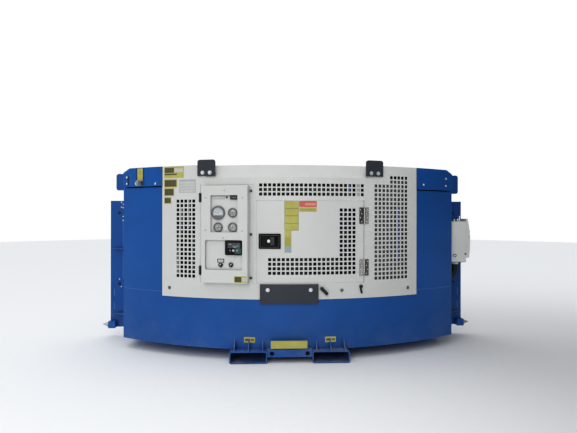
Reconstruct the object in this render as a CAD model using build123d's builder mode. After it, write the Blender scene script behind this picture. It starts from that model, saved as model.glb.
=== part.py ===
from build123d import *
from math import asin, cos, degrees, sin, sqrt
import os

os.makedirs("parts", exist_ok=True)

# A diesel generator set in a bowed steel enclosure, made to hang on the front of a
# refrigerated container and, off the container, to stand on its two fork pockets.
# Millimetres. X runs to the right as one faces the bowed front, Y to the back and Z up.
# The origin lies on the ground, in the middle of the width and of the depth.
# Places on the front are given as s, the length along the bow from its middle, and z.

# Enclosure
front_radius = 1986.0       # plan radius of the bow, at the outer face of the white sheets
half_width = 1015.0
body_depth = 560.0          # from the apex of the bow to the mounting plane
pocket_reach = 35.0         # fork pockets ahead of the apex
sheet = 3.0                 # sheet steel
seam = 0.3                  # between two fixed pieces
door_gap = 3.0              # round each door
skirt_low = 62.5
panel_low = 341.0           # lower edge of the white sheets
panel_half = 764.0          # half their length along the bow
panel_lap = 25.0            # blue skin behind the edges of the white sheets
doors_low = 431.0           # lower edge of both doors
control_height = 546.0      # height of the control door
top_margin = 112.0          # from the control door to the roof
top_height = doors_low + control_height + top_margin

# Hood
hood_drop = 73.0            # its bend below the roof
hood_lean = 40.0
hood_lip = 30.0
hood_half = 463.0           # half its length along the bow
hood_shift = -22.0          # its middle, left of the bow's middle

# Vent holes
hole_size = 17.5
hole_pitch = 25.0
vent_low = 445.0            # no hole of the side sheets lies lower
left_vent_s, left_vent_drop, left_vent_cols = -659.4, 202.2, 5
right_vent_s, right_vent_drop, right_vent_cols = 487.5, 64.5, 9
right_vent_step_cols, right_vent_step_rows = 4, 2
head_vent_s, head_vent_drop, head_vent_cols, head_vent_rows = -172.2, 115.1, 24, 3
foot_vent_s, foot_vent_z, foot_vent_cols, foot_vent_rows = -121.8, 561.5, 20, 4
side_vent_drop, side_vent_cols = 51.5, 4

# Doors
door_hinge_s = 413.0        # pin of the access door
door_free_s = -196.0        # its free edge
door_drop = 89.0            # its top below the control door's
control_hinge_s = -518.0    # pin of the control door
control_free_s = -214.5
door_return = 18.0          # depth of the doors' folded edges

# Hinges
leaf_width = 28.0
leaf_thick = 2.0
knuckle_radius = 4.5
pin_radius = 2.2
pin_gap = 0.25
knuckle_gap = 0.4
knuckle_count = 5
leaf_lap = 1.0              # of a knuckle's foot over its leaf
door_hinge_height = 92.0
door_hinge_inset = (82.0, 83.0)
control_hinge_height = 50.0
control_hinge_inset = (66.0, 71.0)
control_leaf_width = 9.0

# Door latch
latch_s = -122.0
latch_share = 0.5077        # its height on the door, from the door's lower edge
latch_width = 122.0
latch_height = 84.0
latch_flange = 3.0
latch_rim = 11.0
latch_depth = 17.0
latch_wall = 2.0
paddle_thick = 5.0
paddle_gap = 2.0
paddle_finger = 20.0
latch_pin_radius = 2.0
lock_radius = 8.0
lock_proud = 2.0

# Control door
pan_s = -366.0
pan_width = 262.0
pan_low_inset = 1.6         # from the door's lower edge
pan_high_inset = 7.4
pan_proud = 38.0
pan_sheet = 2.5
pan_fillet = 5.0
pan_root = 12.0             # how far the pan's walls reach behind the bow
gauge_window_x, gauge_window_share = -1.8, 0.7116   # shares are of the pan's height
gauge_window_width, gauge_window_height = 153.0, 204.0
switch_window_x, switch_window_share = -4.0, 0.290
switch_window_width, switch_window_height = 211.0, 164.0
switch_window_radius = 10.0
plate_recess = 9.0          # instrument plate behind the pan's face
plate_thick = 2.0
big_gauge_radius = 39.0
small_gauge_radius = 26.0
gauge_bezel = 6.5
gauge_body_depth = 22.0
gauge_x = (-37.5, 45.0)
gauge_rows = (4.8, -75.0)   # from the middle of their window
meter_x, meter_rise = 54.0, 89.0
meter_size = (44.0, 22.0)
meter_radius = 1.2
meter_proud = 7.5
lamp_x, lamp_rise = 11.5, 91.0
lamp_radius = 5.0
controller_x, controller_rise = 51.7, 39.9
controller_size = (95.5, 80.0)
controller_proud = 14.0
controller_radius = 7.0
knob_radius = 12.5
knob_proud = 16.0
knob_skirt = 3.0
knob_grip = 7.0
knob_shaft_radius = 4.0
knob_x = (-22.9, 35.7)
knob_rise = -54.5           # from the middle of their window
screw_radius = 7.0
screw_proud = 4.0
control_screws_s = -225.7
control_screws_inset = (28.6, 35.3)

# Charcoal pieces
bracket_places = (-481.0, 476.0)
bracket_width = 105.0
bracket_height = 91.0
bracket_rise = 29.0         # above the roof
bracket_thick = 8.0
bracket_radius = 14.0
bracket_bolt_pitch = 43.0
bracket_bolt_inset = 18.0
bumper_s = -14.0
bumper_width = 322.0
bumper_low = 319.0
bumper_high = 426.0
bumper_thick = 8.0
bumper_bolt_pitch = 236.0
bumper_bolt_z = 395.0
bolt_radius = 8.0
bolt_head = 5.0

# Fork pockets and the beam between them
base_shift = -11.0          # their middle, left of the bow's middle
pocket_pitch = 452.0
pocket_width = 205.0
pocket_height = 67.0
pocket_wall = 6.0
pocket_radius = 12.0
gusset_thick = 6.0
gusset_pitch = 78.0
gusset_height = 48.0
beam_low = 34.0
beam_high = 74.0
beam_depth = 30.0
beam_wall = 5.0
beam_hole_radius = 12.0
beam_hole_pitch = 194.0
beam_hole_z = 53.0
notice_shift = -15.0
notice_width = 200.0
notice_low = 81.0
notice_high = 123.0
notice_thick = 3.0
notice_ahead = 3.0          # notice plate behind the front of the pockets
notice_post_radius = 6.0
notice_post_pitch = 150.0

# Floor, tank and rear
floor_thick = 4.0
tank_gap = 14.0
tank_half = 890.0
tank_high = 326.0
tank_back = 70.0
tank_radius = 30.0
rear_inset = 26.0           # rear wall ahead of the mounting plane
rib_depth = 18.0
rib_width = 60.0
rib_pitch = 480.0

# Mounting posts, tabs and clamps beside the body
post_reach = 180.0          # beyond the side wall
post_lap = 30.0
post_low = 58.0
post_high = 905.0
post_thick = 8.0
post_radius = 10.0
post_round = 46.0
web_depth = 100.0
web_thick = 6.0
web_heights = (150.0, 584.0)
post_slot_x = 157.0         # beyond the side wall
post_slot_heights = (197.0, 288.0)
post_slot_length = 50.0
post_slot_width = 9.0
post_bolt_x = 120.0         # beyond the side wall
post_bolt_low = 348.0
post_bolt_pitch = 475.0
post_bolt_radius = 11.0
tab_reaches = (143.0, 159.0)
tab_heights = (111.0, 127.0)
tab_drop = 3.0              # below the roof
tab_radius = 16.0
clamp_z = 81.0
clamp_block = 44.0
clamp_block_height = 44.0
clamp_collar_radius = 20.0
clamp_collar = 6.0
clamp_cone_radius = 16.0
clamp_cone_end = 2.5
clamp_cone = 36.0

# Corner covers
cover_drops = (113.0, 128.0)    # lower edges below the roof, left and right
cover_proud = 6.0
cover_sheet = 2.5
cover_gap = 6.0             # from the wing up to its cover
cover_chamfer_across = 46.0
cover_chamfer_down = 25.0
toggle_s = -931.0
toggle_rise = 22.0          # above the cover's lower edge
toggle_width = 52.0
toggle_height = 34.0
toggle_proud = 13.0

# Receptacle box on the right side
box_setback = 115.0         # ahead of the mounting plane
box_depth = 130.0
box_width = 108.0
box_low = 512.0
box_high = 772.0
box_radius = 6.0
lid_thick = 18.0
lid_low = 540.0
lid_high = 788.0
lid_bulge = 7.0
gland_radius = 24.0
gland_height = 18.0
draft = 10.0                # degrees that cast and moulded sides lean
elbow_radius = 17.0
elbow_drop = 30.0
elbow_bend = 55.0
elbow_in = 62.0             # from the side wall to the elbow's upright

# Fittings on the sill
stop_s, stop_z = 179.0, 388.0
stop_length = 52.0
stop_radius = 9.0
stop_tilt = 45.0
stay_s, stay_z = 394.0, 389.0
stay_length = 46.0
stay_radius = 5.0
stay_knob = 9.0
stay_tilt = 105.0

# Machinery
engine_x = 70.0
engine_width = 420.0
engine_depth = 250.0
engine_height = 300.0
engine_back = 95.0          # from the rear wall
foot_height = 34.0
foot_radius = 26.0
foot_inset = 40.0
foot_spread = 84.0
sump_chamfer = 50.0
head_height = 90.0
head_inset = 25.0
rocker_height = 55.0
rocker_inset = 35.0
filter_x = 105.0            # right of the engine's middle
filter_radius = 42.0
filter_height = 120.0
alternator_radius = 150.0
alternator_length = 330.0
bell_length = 60.0
bell_radius = 118.0
terminal_height = 80.0
terminal_length = 165.0
cradle_length = 110.0
radiator_s = 590.0
radiator_width = 290.0
radiator_stand = 26.0       # above the tank
radiator_drop = 79.0        # below the roof
radiator_thick = 58.0
radiator_setback = 40.0
radiator_tank = 56.0
radiator_overhang = 9.0
shroud_depth = 60.0
shroud_wall = 3.0
fan_radius = 125.0
fan_hub_radius = 34.0
fan_depth = 36.0
fan_blades = 7
blade_width = 44.0
blade_thick = 3.0
blade_pitch = 32.0
silencer_radius = 66.0
silencer_length = 560.0
silencer_x = 60.0
silencer_drop = 121.0       # its middle below the roof
silencer_back = 210.0
hanger_width = 30.0
exhaust_radius = 21.0
exhaust_bend = 48.0
exhaust_x = 60.0            # right of the engine's middle
manifold_length = 300.0
manifold_size = 52.0
battery_x = -700.0
battery_width = 260.0
battery_depth = 172.0
battery_height = 205.0

# Worked out from the above
rear_y = (body_depth + pocket_reach) / 2
apex_y = rear_y - body_depth
pocket_front_y = apex_y - pocket_reach
bow_centre = apex_y + front_radius
bow_axis = Axis((0, bow_centre, 0), (0, 0, 1))
skin_radius = front_radius - sheet - seam
inner_radius = skin_radius - sheet - seam
side_inner = half_width - sheet
rear_wall_y = rear_y - rear_inset
hood_left = hood_shift - hood_half
hood_right = hood_shift + hood_half
bend_height = top_height - hood_drop
control_high = doors_low + control_height
door_high = control_high - door_drop
cover_lows = [top_height - drop for drop in cover_drops]
wing_tops = [low - cover_gap for low in cover_lows]
tab_high = top_height - tab_drop
door_edge_s = door_hinge_s - door_gap / 2
jamb_s = door_hinge_s + door_gap / 2
control_edge_s = control_hinge_s + door_gap / 2
left_seam_s = control_hinge_s - door_gap / 2
sill_high = doors_low - door_gap
pin_proud = knuckle_radius + seam
floor_low = pocket_height
floor_top = floor_low + floor_thick
latch_hole_width = latch_width - 2 * latch_rim
latch_hole_height = latch_height - 2 * latch_rim
latch_z = doors_low + latch_share * (door_high - doors_low)
pan_low = doors_low + pan_low_inset
pan_height = control_height - pan_low_inset - pan_high_inset
pan_z = pan_low + pan_height / 2
gauge_window_z = pan_low + gauge_window_share * pan_height
switch_window_z = pan_low + switch_window_share * pan_height
plate_proud = pan_proud - pan_sheet - plate_recess
big_gauge_at = (gauge_x[0], gauge_window_z + gauge_rows[0])
small_gauges_at = [(x, gauge_window_z + row) for x, row in
                   zip((gauge_x[1], *gauge_x), (gauge_rows[0], gauge_rows[1], gauge_rows[1]))]
knobs_at = [(x, switch_window_z + knob_rise) for x in knob_x]
radiator_low = tank_high + radiator_stand
radiator_high = top_height - radiator_drop
silencer_z = top_height - silencer_drop
sides = (-1, 1)


def degrees_along(s):
    """The angle at the bow's centre for a length s along the bow."""
    return degrees(s / front_radius)


def on_bow(s, z, proud=0.0):
    """A plane on the bow: x along it, y up and z outwards."""
    turn = s / front_radius
    reach = front_radius + proud
    place = (reach * sin(turn), bow_centre - reach * cos(turn), z)
    return Plane(origin=place, x_dir=(cos(turn), sin(turn), 0), z_dir=(sin(turn), -cos(turn), 0))


def on_pan(x, z, proud=0.0):
    """A plane on the flat control pan: x along it from its middle, and its height z."""
    middle = on_bow(pan_s, z, proud)
    return Plane(origin=middle.from_local_coords((x, 0, 0)), x_dir=middle.x_dir, z_dir=middle.z_dir)


def bow_section(s, low, high, outer, thick):
    """The upright section of a bowed sheet, drawn at s."""
    turn = s / front_radius
    radial = Plane(origin=(0, bow_centre, 0), x_dir=(sin(turn), -cos(turn), 0),
                   z_dir=(-cos(turn), -sin(turn), 0))
    with BuildSketch(radial) as section:
        with Locations((outer - thick / 2, (low + high) / 2)):
            Rectangle(thick, high - low)
    return section.sketch


def bowed_sheet(s_from, s_to, low, high, outer=front_radius, thick=sheet, mode=Mode.ADD):
    """A sheet rolled to the bow, from one length along it to another."""
    section = bow_section(s_from, low, high, outer, thick)
    revolve(section, axis=bow_axis, revolution_arc=degrees_along(s_to - s_from), mode=mode)


def rows_between(low, high):
    """How many rows of holes lie from one height to another."""
    return int((high - low) / hole_pitch) + 1


def vent_places(s_first, z_first, columns, rows, skip_columns=0, skip_rows=0):
    """Planes for a grid of vent holes, without a block at its upper left corner."""
    return [
        on_bow(s_first + column * hole_pitch, z_first - row * hole_pitch)
        for column in range(columns)
        for row in range(rows)
        if column >= skip_columns or row >= skip_rows
    ]


def plan_outline(low, radius, x_from, x_to, back):
    """A plan bounded by the bow at a radius, two sides and a straight back."""
    with BuildSketch(Plane.XY.offset(low)) as plan:
        with Locations(((x_from + x_to) / 2, 0)):
            Rectangle(x_to - x_from, 2 * rear_y + 2 * pocket_reach)
        with Locations((0, bow_centre)):
            Circle(radius, mode=Mode.INTERSECT)
        with Locations((0, back - front_radius)):
            Rectangle(4 * half_width, 2 * front_radius, mode=Mode.INTERSECT)
    return plan.sketch


def skin_y(x):
    """Where the blue skin's outer face lies at x."""
    return bow_centre - sqrt(skin_radius ** 2 - x ** 2)


def bow_x(s):
    return front_radius * sin(s / front_radius)


def keep(piece, name):
    piece.part.label = name
    export_step(piece.part, f"parts/{name}.step")


# Fork pockets: rounded rectangular tubes from the front to the mounting plane
for side, word in zip(sides, ("left", "right")):
    pocket_x = base_shift + side * pocket_pitch / 2
    pocket_plane = Plane(origin=(pocket_x, pocket_front_y, pocket_height / 2),
                         x_dir=(1, 0, 0), z_dir=(0, -1, 0))
    with BuildPart() as fork_pocket:
        with BuildSketch(pocket_plane):
            RectangleRounded(pocket_width, pocket_height, pocket_radius)
            RectangleRounded(pocket_width - 2 * pocket_wall, pocket_height - 2 * pocket_wall,
                             pocket_radius - pocket_wall, mode=Mode.SUBTRACT)
        extrude(amount=-(rear_y - pocket_front_y))
    keep(fork_pocket, f"fork_pocket_{word}")

# Beam between the pockets: a channel open to the back, with two round holes
beam_length = pocket_pitch - pocket_width
beam_front_y = apex_y - beam_depth
with BuildPart() as front_cross_beam:
    with BuildSketch(Plane.YZ.offset(base_shift - beam_length / 2)):
        with Locations(((beam_front_y + apex_y) / 2, (beam_low + beam_high) / 2)):
            Rectangle(beam_depth, beam_high - beam_low)
        with Locations(((beam_front_y + apex_y) / 2 + beam_wall, (beam_low + beam_high) / 2)):
            Rectangle(beam_depth, beam_high - beam_low - 2 * beam_wall, mode=Mode.SUBTRACT)
    extrude(amount=beam_length)
    hole_plane = Plane(origin=(base_shift, beam_front_y, beam_hole_z), x_dir=(1, 0, 0), z_dir=(0, -1, 0))
    with Locations(hole_plane):
        with GridLocations(beam_hole_pitch, 1, 2, 1):
            Hole(beam_hole_radius, depth=2 * beam_wall)
keep(front_cross_beam, "front_cross_beam")

# Gussets: three small triangles above each pocket, against the skin
with BuildPart() as pocket_gussets:
    for side in sides:
        for step in (-1, 0, 1):
            gusset_x = base_shift + side * pocket_pitch / 2 + step * gusset_pitch
            gusset_back = skin_y(abs(gusset_x) - gusset_thick / 2) - seam
            with BuildSketch(Plane.YZ.offset(gusset_x - gusset_thick / 2)):
                with BuildLine():
                    Polyline((pocket_front_y + seam, pocket_height), (gusset_back, pocket_height),
                             (gusset_back, pocket_height + gusset_height), close=True)
                make_face()
            extrude(amount=gusset_thick)
keep(pocket_gussets, "pocket_gussets")

# Notice bar: a narrow upright plate on two posts
notice_y = pocket_front_y + notice_ahead
notice_post_nearest = notice_post_pitch / 2 + notice_shift
with BuildPart() as notice_bar:
    with BuildSketch(Plane(origin=(notice_shift, notice_y, (notice_low + notice_high) / 2),
                           x_dir=(1, 0, 0), z_dir=(0, -1, 0))):
        RectangleRounded(notice_width, notice_high - notice_low, notice_thick)
    extrude(amount=-notice_thick)
    with Locations(Plane(origin=(notice_shift, notice_y + notice_thick, (notice_low + notice_high) / 2),
                         x_dir=(1, 0, 0), z_dir=(0, 1, 0))):
        with GridLocations(notice_post_pitch, 1, 2, 1):
            Cylinder(notice_post_radius, skin_y(notice_post_nearest) - notice_y - notice_thick - seam,
                     align=(Align.CENTER, Align.CENTER, Align.MIN))
keep(notice_bar, "notice_bar")

# Floor of the enclosure, on top of the pockets
with BuildPart() as base_floor:
    extrude(plan_outline(floor_low, inner_radius, -side_inner + seam, side_inner - seam,
                         rear_wall_y - sheet - seam), amount=floor_thick)
keep(base_floor, "base_floor")

# Front skirt: the blue sheet below the white ones, notched over the pockets
skin_end_s = front_radius * asin(half_width / skin_radius)
with BuildPart() as front_skirt:
    bowed_sheet(-skin_end_s, skin_end_s, skirt_low, panel_low + panel_lap, outer=skin_radius)
    with Locations((base_shift, apex_y, 0)):
        with GridLocations(pocket_pitch, 1, 2, 1):
            Box(pocket_width + 2 * seam, body_depth, 2 * (pocket_height + seam), mode=Mode.SUBTRACT)
    split(bisect_by=Plane.YZ.offset(side_inner), keep=Keep.BOTTOM)
    split(bisect_by=Plane.YZ.offset(-side_inner), keep=Keep.TOP)
keep(front_skirt, "front_skirt")

# Wings: the blue sheets at both ends of the bow
with BuildPart() as wing_left:
    bowed_sheet(-skin_end_s, -panel_half + panel_lap, panel_low + panel_lap, wing_tops[0], outer=skin_radius)
    split(bisect_by=Plane.YZ.offset(-side_inner), keep=Keep.TOP)
keep(wing_left, "wing_left")

with BuildPart() as wing_right:
    bowed_sheet(panel_half - panel_lap, skin_end_s, panel_low + panel_lap, wing_tops[1], outer=skin_radius)
    split(bisect_by=Plane.YZ.offset(side_inner), keep=Keep.BOTTOM)
keep(wing_right, "wing_right")

# Side walls, each ending on the bow at its front
for side, word, wing_top in zip(sides, ("left", "right"), wing_tops):
    x_low, x_high = sorted((side * side_inner, side * half_width))
    with BuildPart() as side_wall:
        extrude(plan_outline(skirt_low, skin_radius, x_low, x_high, rear_y - post_thick - seam),
                amount=wing_top - skirt_low)
    keep(side_wall, f"side_wall_{word}")

# Rear wall with upright pressed ribs
with BuildPart() as rear_wall:
    with Locations((0, rear_wall_y - sheet / 2, (skirt_low + top_height - sheet - seam) / 2)):
        Box(2 * (side_inner - seam), sheet, top_height - sheet - seam - skirt_low)
    with Locations((0, rear_wall_y + rib_depth / 2, (pocket_height + top_height) / 2)):
        with GridLocations(rib_pitch, 1, 4, 1):
            Box(rib_width, rib_depth, top_height - 2 * pocket_height)
    with Locations((base_shift, rear_wall_y, 0)):
        with GridLocations(pocket_pitch, 1, 2, 1):
            Box(pocket_width + 2 * seam, 4 * sheet, 2 * (pocket_height + seam), mode=Mode.SUBTRACT)
keep(rear_wall, "rear_wall")

# Roof between the two corner covers, cut back where the hood's lip lies
roof_half = bow_x(panel_half)
with BuildPart() as roof:
    extrude(plan_outline(top_height - sheet, front_radius - sheet - seam, -roof_half, roof_half,
                         rear_y - post_thick), amount=sheet)
    bowed_sheet(hood_left - seam, hood_right + seam, bend_height, top_height + sheet,
                thick=hood_lean + hood_lip + seam, mode=Mode.SUBTRACT)
keep(roof, "roof")

# Hood: the sheet that leans back above the header, with its lip on the roof line
hood_turn = hood_left / front_radius
with BuildPart() as hood:
    with BuildSketch(Plane(origin=(0, bow_centre, 0), x_dir=(sin(hood_turn), -cos(hood_turn), 0),
                           z_dir=(-cos(hood_turn), -sin(hood_turn), 0))) as hood_section:
        with BuildLine():
            Polyline((front_radius, bend_height),
                     (front_radius - hood_lean, top_height),
                     (front_radius - hood_lean - hood_lip, top_height),
                     (front_radius - hood_lean - hood_lip, top_height - sheet),
                     (front_radius - hood_lean - sheet, top_height - sheet),
                     (front_radius - sheet, bend_height), close=True)
        make_face()
    revolve(axis=bow_axis, revolution_arc=degrees_along(2 * hood_half))
keep(hood, "hood")

# White sheets round the doors
cheek_high = top_height - sheet - seam
with BuildPart() as left_panel:
    bowed_sheet(-panel_half, left_seam_s, panel_low, top_height)
    bowed_sheet(left_seam_s, hood_left, control_high + door_gap, top_height)
    bowed_sheet(hood_left - sheet, hood_left, bend_height, cheek_high, thick=hood_lean)
    left_vent_z = top_height - left_vent_drop
    with Locations(vent_places(left_vent_s, left_vent_z, left_vent_cols, rows_between(vent_low, left_vent_z))):
        Box(hole_size, hole_size, 4 * sheet, mode=Mode.SUBTRACT)
keep(left_panel, "left_panel")

with BuildPart() as right_panel:
    bowed_sheet(jamb_s, panel_half, panel_low, bend_height)
    bowed_sheet(hood_right, panel_half, bend_height, top_height)
    bowed_sheet(hood_right, hood_right + sheet, bend_height, cheek_high, thick=hood_lean)
    right_vent_z = top_height - right_vent_drop
    with Locations(vent_places(right_vent_s, right_vent_z, right_vent_cols, rows_between(vent_low, right_vent_z),
                               right_vent_step_cols, right_vent_step_rows)):
        Box(hole_size, hole_size, 4 * sheet, mode=Mode.SUBTRACT)
keep(right_panel, "right_panel")

with BuildPart() as header_panel:
    bowed_sheet(hood_left, jamb_s, control_high + door_gap, bend_height)
    bowed_sheet(control_free_s + door_gap, jamb_s, door_high + door_gap, control_high + door_gap)
    with Locations(vent_places(head_vent_s, top_height - head_vent_drop, head_vent_cols, head_vent_rows)):
        Box(hole_size, hole_size, 4 * sheet, mode=Mode.SUBTRACT)
keep(header_panel, "header_panel")

with BuildPart() as sill_panel:
    bowed_sheet(left_seam_s, jamb_s, panel_low, sill_high)
keep(sill_panel, "sill_panel")

with BuildPart() as door_mullion:
    bowed_sheet(control_free_s + door_gap, door_free_s - door_gap, sill_high, door_high + door_gap)
keep(door_mullion, "door_mullion")

# Access door: bowed, with folded edges, vent holes and a hole for the latch
door_inner = front_radius - sheet
with BuildPart() as access_door:
    bowed_sheet(door_free_s, door_edge_s, doors_low, door_high)
    bowed_sheet(door_free_s, door_free_s + sheet, doors_low, door_high, door_inner, door_return)
    bowed_sheet(door_edge_s - sheet, door_edge_s, doors_low, door_high, door_inner, door_return)
    bowed_sheet(door_free_s, door_edge_s, doors_low, doors_low + sheet, door_inner, door_return)
    bowed_sheet(door_free_s, door_edge_s, door_high - sheet, door_high, door_inner, door_return)
    side_vent_s = foot_vent_s + (foot_vent_cols - side_vent_cols) * hole_pitch
    door_vents = vent_places(foot_vent_s, foot_vent_z, foot_vent_cols, foot_vent_rows)
    side_vent_z = door_high - side_vent_drop
    door_vents += vent_places(side_vent_s, side_vent_z, side_vent_cols,
                              rows_between(foot_vent_z + hole_pitch, side_vent_z))
    with Locations(door_vents):
        Box(hole_size, hole_size, 4 * sheet, mode=Mode.SUBTRACT)
    with Locations(on_bow(latch_s, latch_z)):
        Box(latch_hole_width + 2 * seam, latch_hole_height + 2 * seam, 4 * sheet, mode=Mode.SUBTRACT)
keep(access_door, "access_door")


def build_hinge_half(pin_s, heights, height, width, side, first, pinned):
    """Leaves on one side of a door's pin with every other knuckle, and the pin or its bore."""
    step = height / knuckle_count
    leaf_out = seam - pin_proud + leaf_thick / 2
    knuckles = [middle - height / 2 + (index + 0.5) * step
                for middle in heights for index in range(first, knuckle_count, 2)]
    for middle in heights:
        with Locations(on_bow(pin_s, middle, pin_proud)):
            with Locations((side * (width + knuckle_radius) / 2, 0, leaf_out)):
                Box(width - knuckle_radius, height, leaf_thick)
    for z in knuckles:
        with Locations(on_bow(pin_s, z, pin_proud)):
            with Locations(Rotation(90, 0, 0)):
                Cylinder(knuckle_radius, step - knuckle_gap)
            with Locations((side * knuckle_radius / 2, 0, leaf_out)):
                Box(knuckle_radius + leaf_lap, step - knuckle_gap, leaf_thick)
    for middle in heights:
        with Locations(on_bow(pin_s, middle, pin_proud)):
            with Locations(Rotation(90, 0, 0)):
                if pinned:
                    Cylinder(pin_radius, height + 2 * knuckle_gap)
                else:
                    Cylinder(pin_radius + pin_gap, height + 2 * leaf_thick, mode=Mode.SUBTRACT)


# Hinges: the half that carries the pin is on the enclosure, the other on its door
for hinge_name, pin_s, inset, door_top, height, width, side in (
    ("door_hinge", door_hinge_s, door_hinge_inset, door_high, door_hinge_height, leaf_width, 1),
    ("control_hinge", control_hinge_s, control_hinge_inset, control_high, control_hinge_height,
     control_leaf_width, -1),
):
    heights = (doors_low + inset[0], door_top - inset[1])
    with BuildPart() as hinge_fixed:
        build_hinge_half(pin_s, heights, height, width, side, 0, True)
    keep(hinge_fixed, f"{hinge_name}_fixed")
    with BuildPart() as hinge_moving:
        build_hinge_half(pin_s, heights, height, width, -side, 1, False)
    keep(hinge_moving, f"{hinge_name}_moving")

# Latch: a black dish let into the door, with a paddle on an upright pin
with BuildPart() as latch_dish:
    with BuildSketch(on_bow(latch_s, latch_z, latch_flange)):
        RectangleRounded(latch_width, latch_height, latch_rim / 2)
    extrude(amount=-(latch_flange - seam))
    with BuildSketch(on_bow(latch_s, latch_z, seam)):
        Rectangle(latch_hole_width, latch_hole_height)
    extrude(amount=-latch_depth)
    with BuildSketch(on_bow(latch_s, latch_z, latch_flange)):
        Rectangle(latch_hole_width - 2 * latch_wall, latch_hole_height - 2 * latch_wall)
    extrude(amount=-(latch_flange + latch_depth - seam - latch_wall), mode=Mode.SUBTRACT)
    fillet(latch_dish.faces().filter_by(on_bow(latch_s, latch_z)).sort_by_distance(
        on_bow(latch_s, latch_z, latch_flange).origin)[0].outer_wire().edges(), latch_flange / 3)
keep(latch_dish, "latch_dish")

keep_out = latch_hole_width - 2 * latch_wall
paddle_width = keep_out - 2 * paddle_gap - paddle_finger
paddle_height = latch_hole_height - 2 * latch_wall - 2 * paddle_gap
paddle_pin_x = -keep_out / 2 + paddle_gap + paddle_thick / 2
with BuildPart() as latch_paddle:
    with BuildSketch(on_bow(latch_s, latch_z, latch_flange - paddle_thick)):
        with Locations((paddle_pin_x + paddle_width / 2, 0)):
            Rectangle(paddle_width, paddle_height)
    extrude(amount=paddle_thick)
    with Locations(on_bow(latch_s, latch_z, latch_flange - paddle_thick / 2)):
        with Locations(Pos(paddle_pin_x, 0, 0) * Rotation(90, 0, 0)):
            Cylinder(paddle_thick / 2, paddle_height)
            Cylinder(latch_pin_radius, paddle_height + 2 * paddle_gap - 2 * seam)
    with BuildSketch(on_bow(latch_s, latch_z, latch_flange)):
        with Locations((paddle_pin_x + paddle_width / 3, 0)):
            Circle(lock_radius)
    extrude(amount=lock_proud)
keep(latch_paddle, "latch_paddle")

# Control door: a bowed flange with a flat pan standing out of it and two windows
with BuildPart() as control_door:
    bowed_sheet(control_edge_s, control_free_s, doors_low, control_high)
    with BuildSketch(on_pan(0, pan_z, -pan_root)):
        Rectangle(pan_width, pan_height)
    extrude(amount=pan_root + pan_proud)
    pan_face = control_door.faces().filter_by(on_pan(0, pan_z)).sort_by(Axis.Y)[0]
    fillet(pan_face.edges(), pan_fillet)
    with BuildSketch(on_pan(0, pan_z, -2 * pan_root)):
        Rectangle(pan_width - 2 * pan_sheet, pan_height - 2 * pan_sheet)
    extrude(amount=2 * pan_root + pan_proud - pan_sheet, mode=Mode.SUBTRACT)
    with BuildSketch(on_pan(0, pan_z, plate_proud)):
        with Locations((gauge_window_x, gauge_window_z - pan_z)):
            Rectangle(gauge_window_width, gauge_window_height)
        with Locations((switch_window_x, switch_window_z - pan_z)):
            RectangleRounded(switch_window_width, switch_window_height, switch_window_radius)
    extrude(amount=pan_proud, mode=Mode.SUBTRACT)
keep(control_door, "control_door")

# Instrument plate behind the windows, with a folded edge that meets the pan's face
plate_width = pan_width - 2 * pan_sheet - 2 * pan_fillet
plate_height = pan_height - 2 * pan_sheet - 2 * pan_fillet
with BuildPart() as instrument_plate:
    with BuildSketch(on_pan(0, pan_z, plate_proud)):
        Rectangle(plate_width, plate_height)
    extrude(amount=-plate_thick)
    with BuildSketch(on_pan(0, pan_z, plate_proud)):
        Rectangle(plate_width, plate_height)
        Rectangle(plate_width - 2 * plate_thick, plate_height - 2 * plate_thick, mode=Mode.SUBTRACT)
    extrude(amount=plate_recess - seam)
    with BuildSketch(on_pan(0, pan_z, plate_proud)):
        for x, z in knobs_at:
            with Locations((x, z - pan_z)):
                Circle(knob_shaft_radius + seam)
        with Locations((big_gauge_at[0], big_gauge_at[1] - pan_z)):
            Circle(big_gauge_radius - gauge_bezel + seam)
        for x, z in small_gauges_at:
            with Locations((x, z - pan_z)):
                Circle(small_gauge_radius - gauge_bezel + seam)
    extrude(amount=-2 * plate_thick, mode=Mode.SUBTRACT)
keep(instrument_plate, "instrument_plate")

# Gauges: a can through the plate with a bezel in front and a shallow dial well
with BuildPart() as gauges:
    for (x, z), radius in (
        (big_gauge_at, big_gauge_radius),
        *((place, small_gauge_radius) for place in small_gauges_at),
    ):
        can_radius = radius - gauge_bezel
        with BuildSketch(on_pan(x, z, plate_proud + seam)):
            Circle(radius)
        extrude(amount=gauge_bezel)
        with BuildSketch(on_pan(x, z, plate_proud + seam)):
            Circle(can_radius)
        extrude(amount=-gauge_body_depth)
        with BuildSketch(on_pan(x, z, plate_proud + seam + gauge_bezel)):
            Circle(can_radius)
        extrude(amount=-gauge_bezel / 2, mode=Mode.SUBTRACT)
keep(gauges, "gauges")

# Hour meter and lamp above the gauges
with BuildPart() as hour_meter:
    with BuildSketch(on_pan(meter_x, gauge_window_z + meter_rise, plate_proud + seam)):
        RectangleRounded(*meter_size, meter_radius)
    extrude(amount=meter_proud)
    with BuildSketch(on_pan(lamp_x, gauge_window_z + lamp_rise, plate_proud + seam)):
        Circle(lamp_radius)
    extrude(amount=meter_proud, taper=draft)
keep(hour_meter, "hour_meter")

# Controller with its rounded face
with BuildPart() as controller:
    with BuildSketch(on_pan(controller_x, switch_window_z + controller_rise, plate_proud + seam)):
        RectangleRounded(*controller_size, controller_radius)
    extrude(amount=controller_proud)
    front = controller.faces().filter_by(on_pan(0, pan_z)).sort_by(Axis.Y)[0]
    chamfer(front.edges(), 2 * plate_thick)
keep(controller, "controller")

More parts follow.
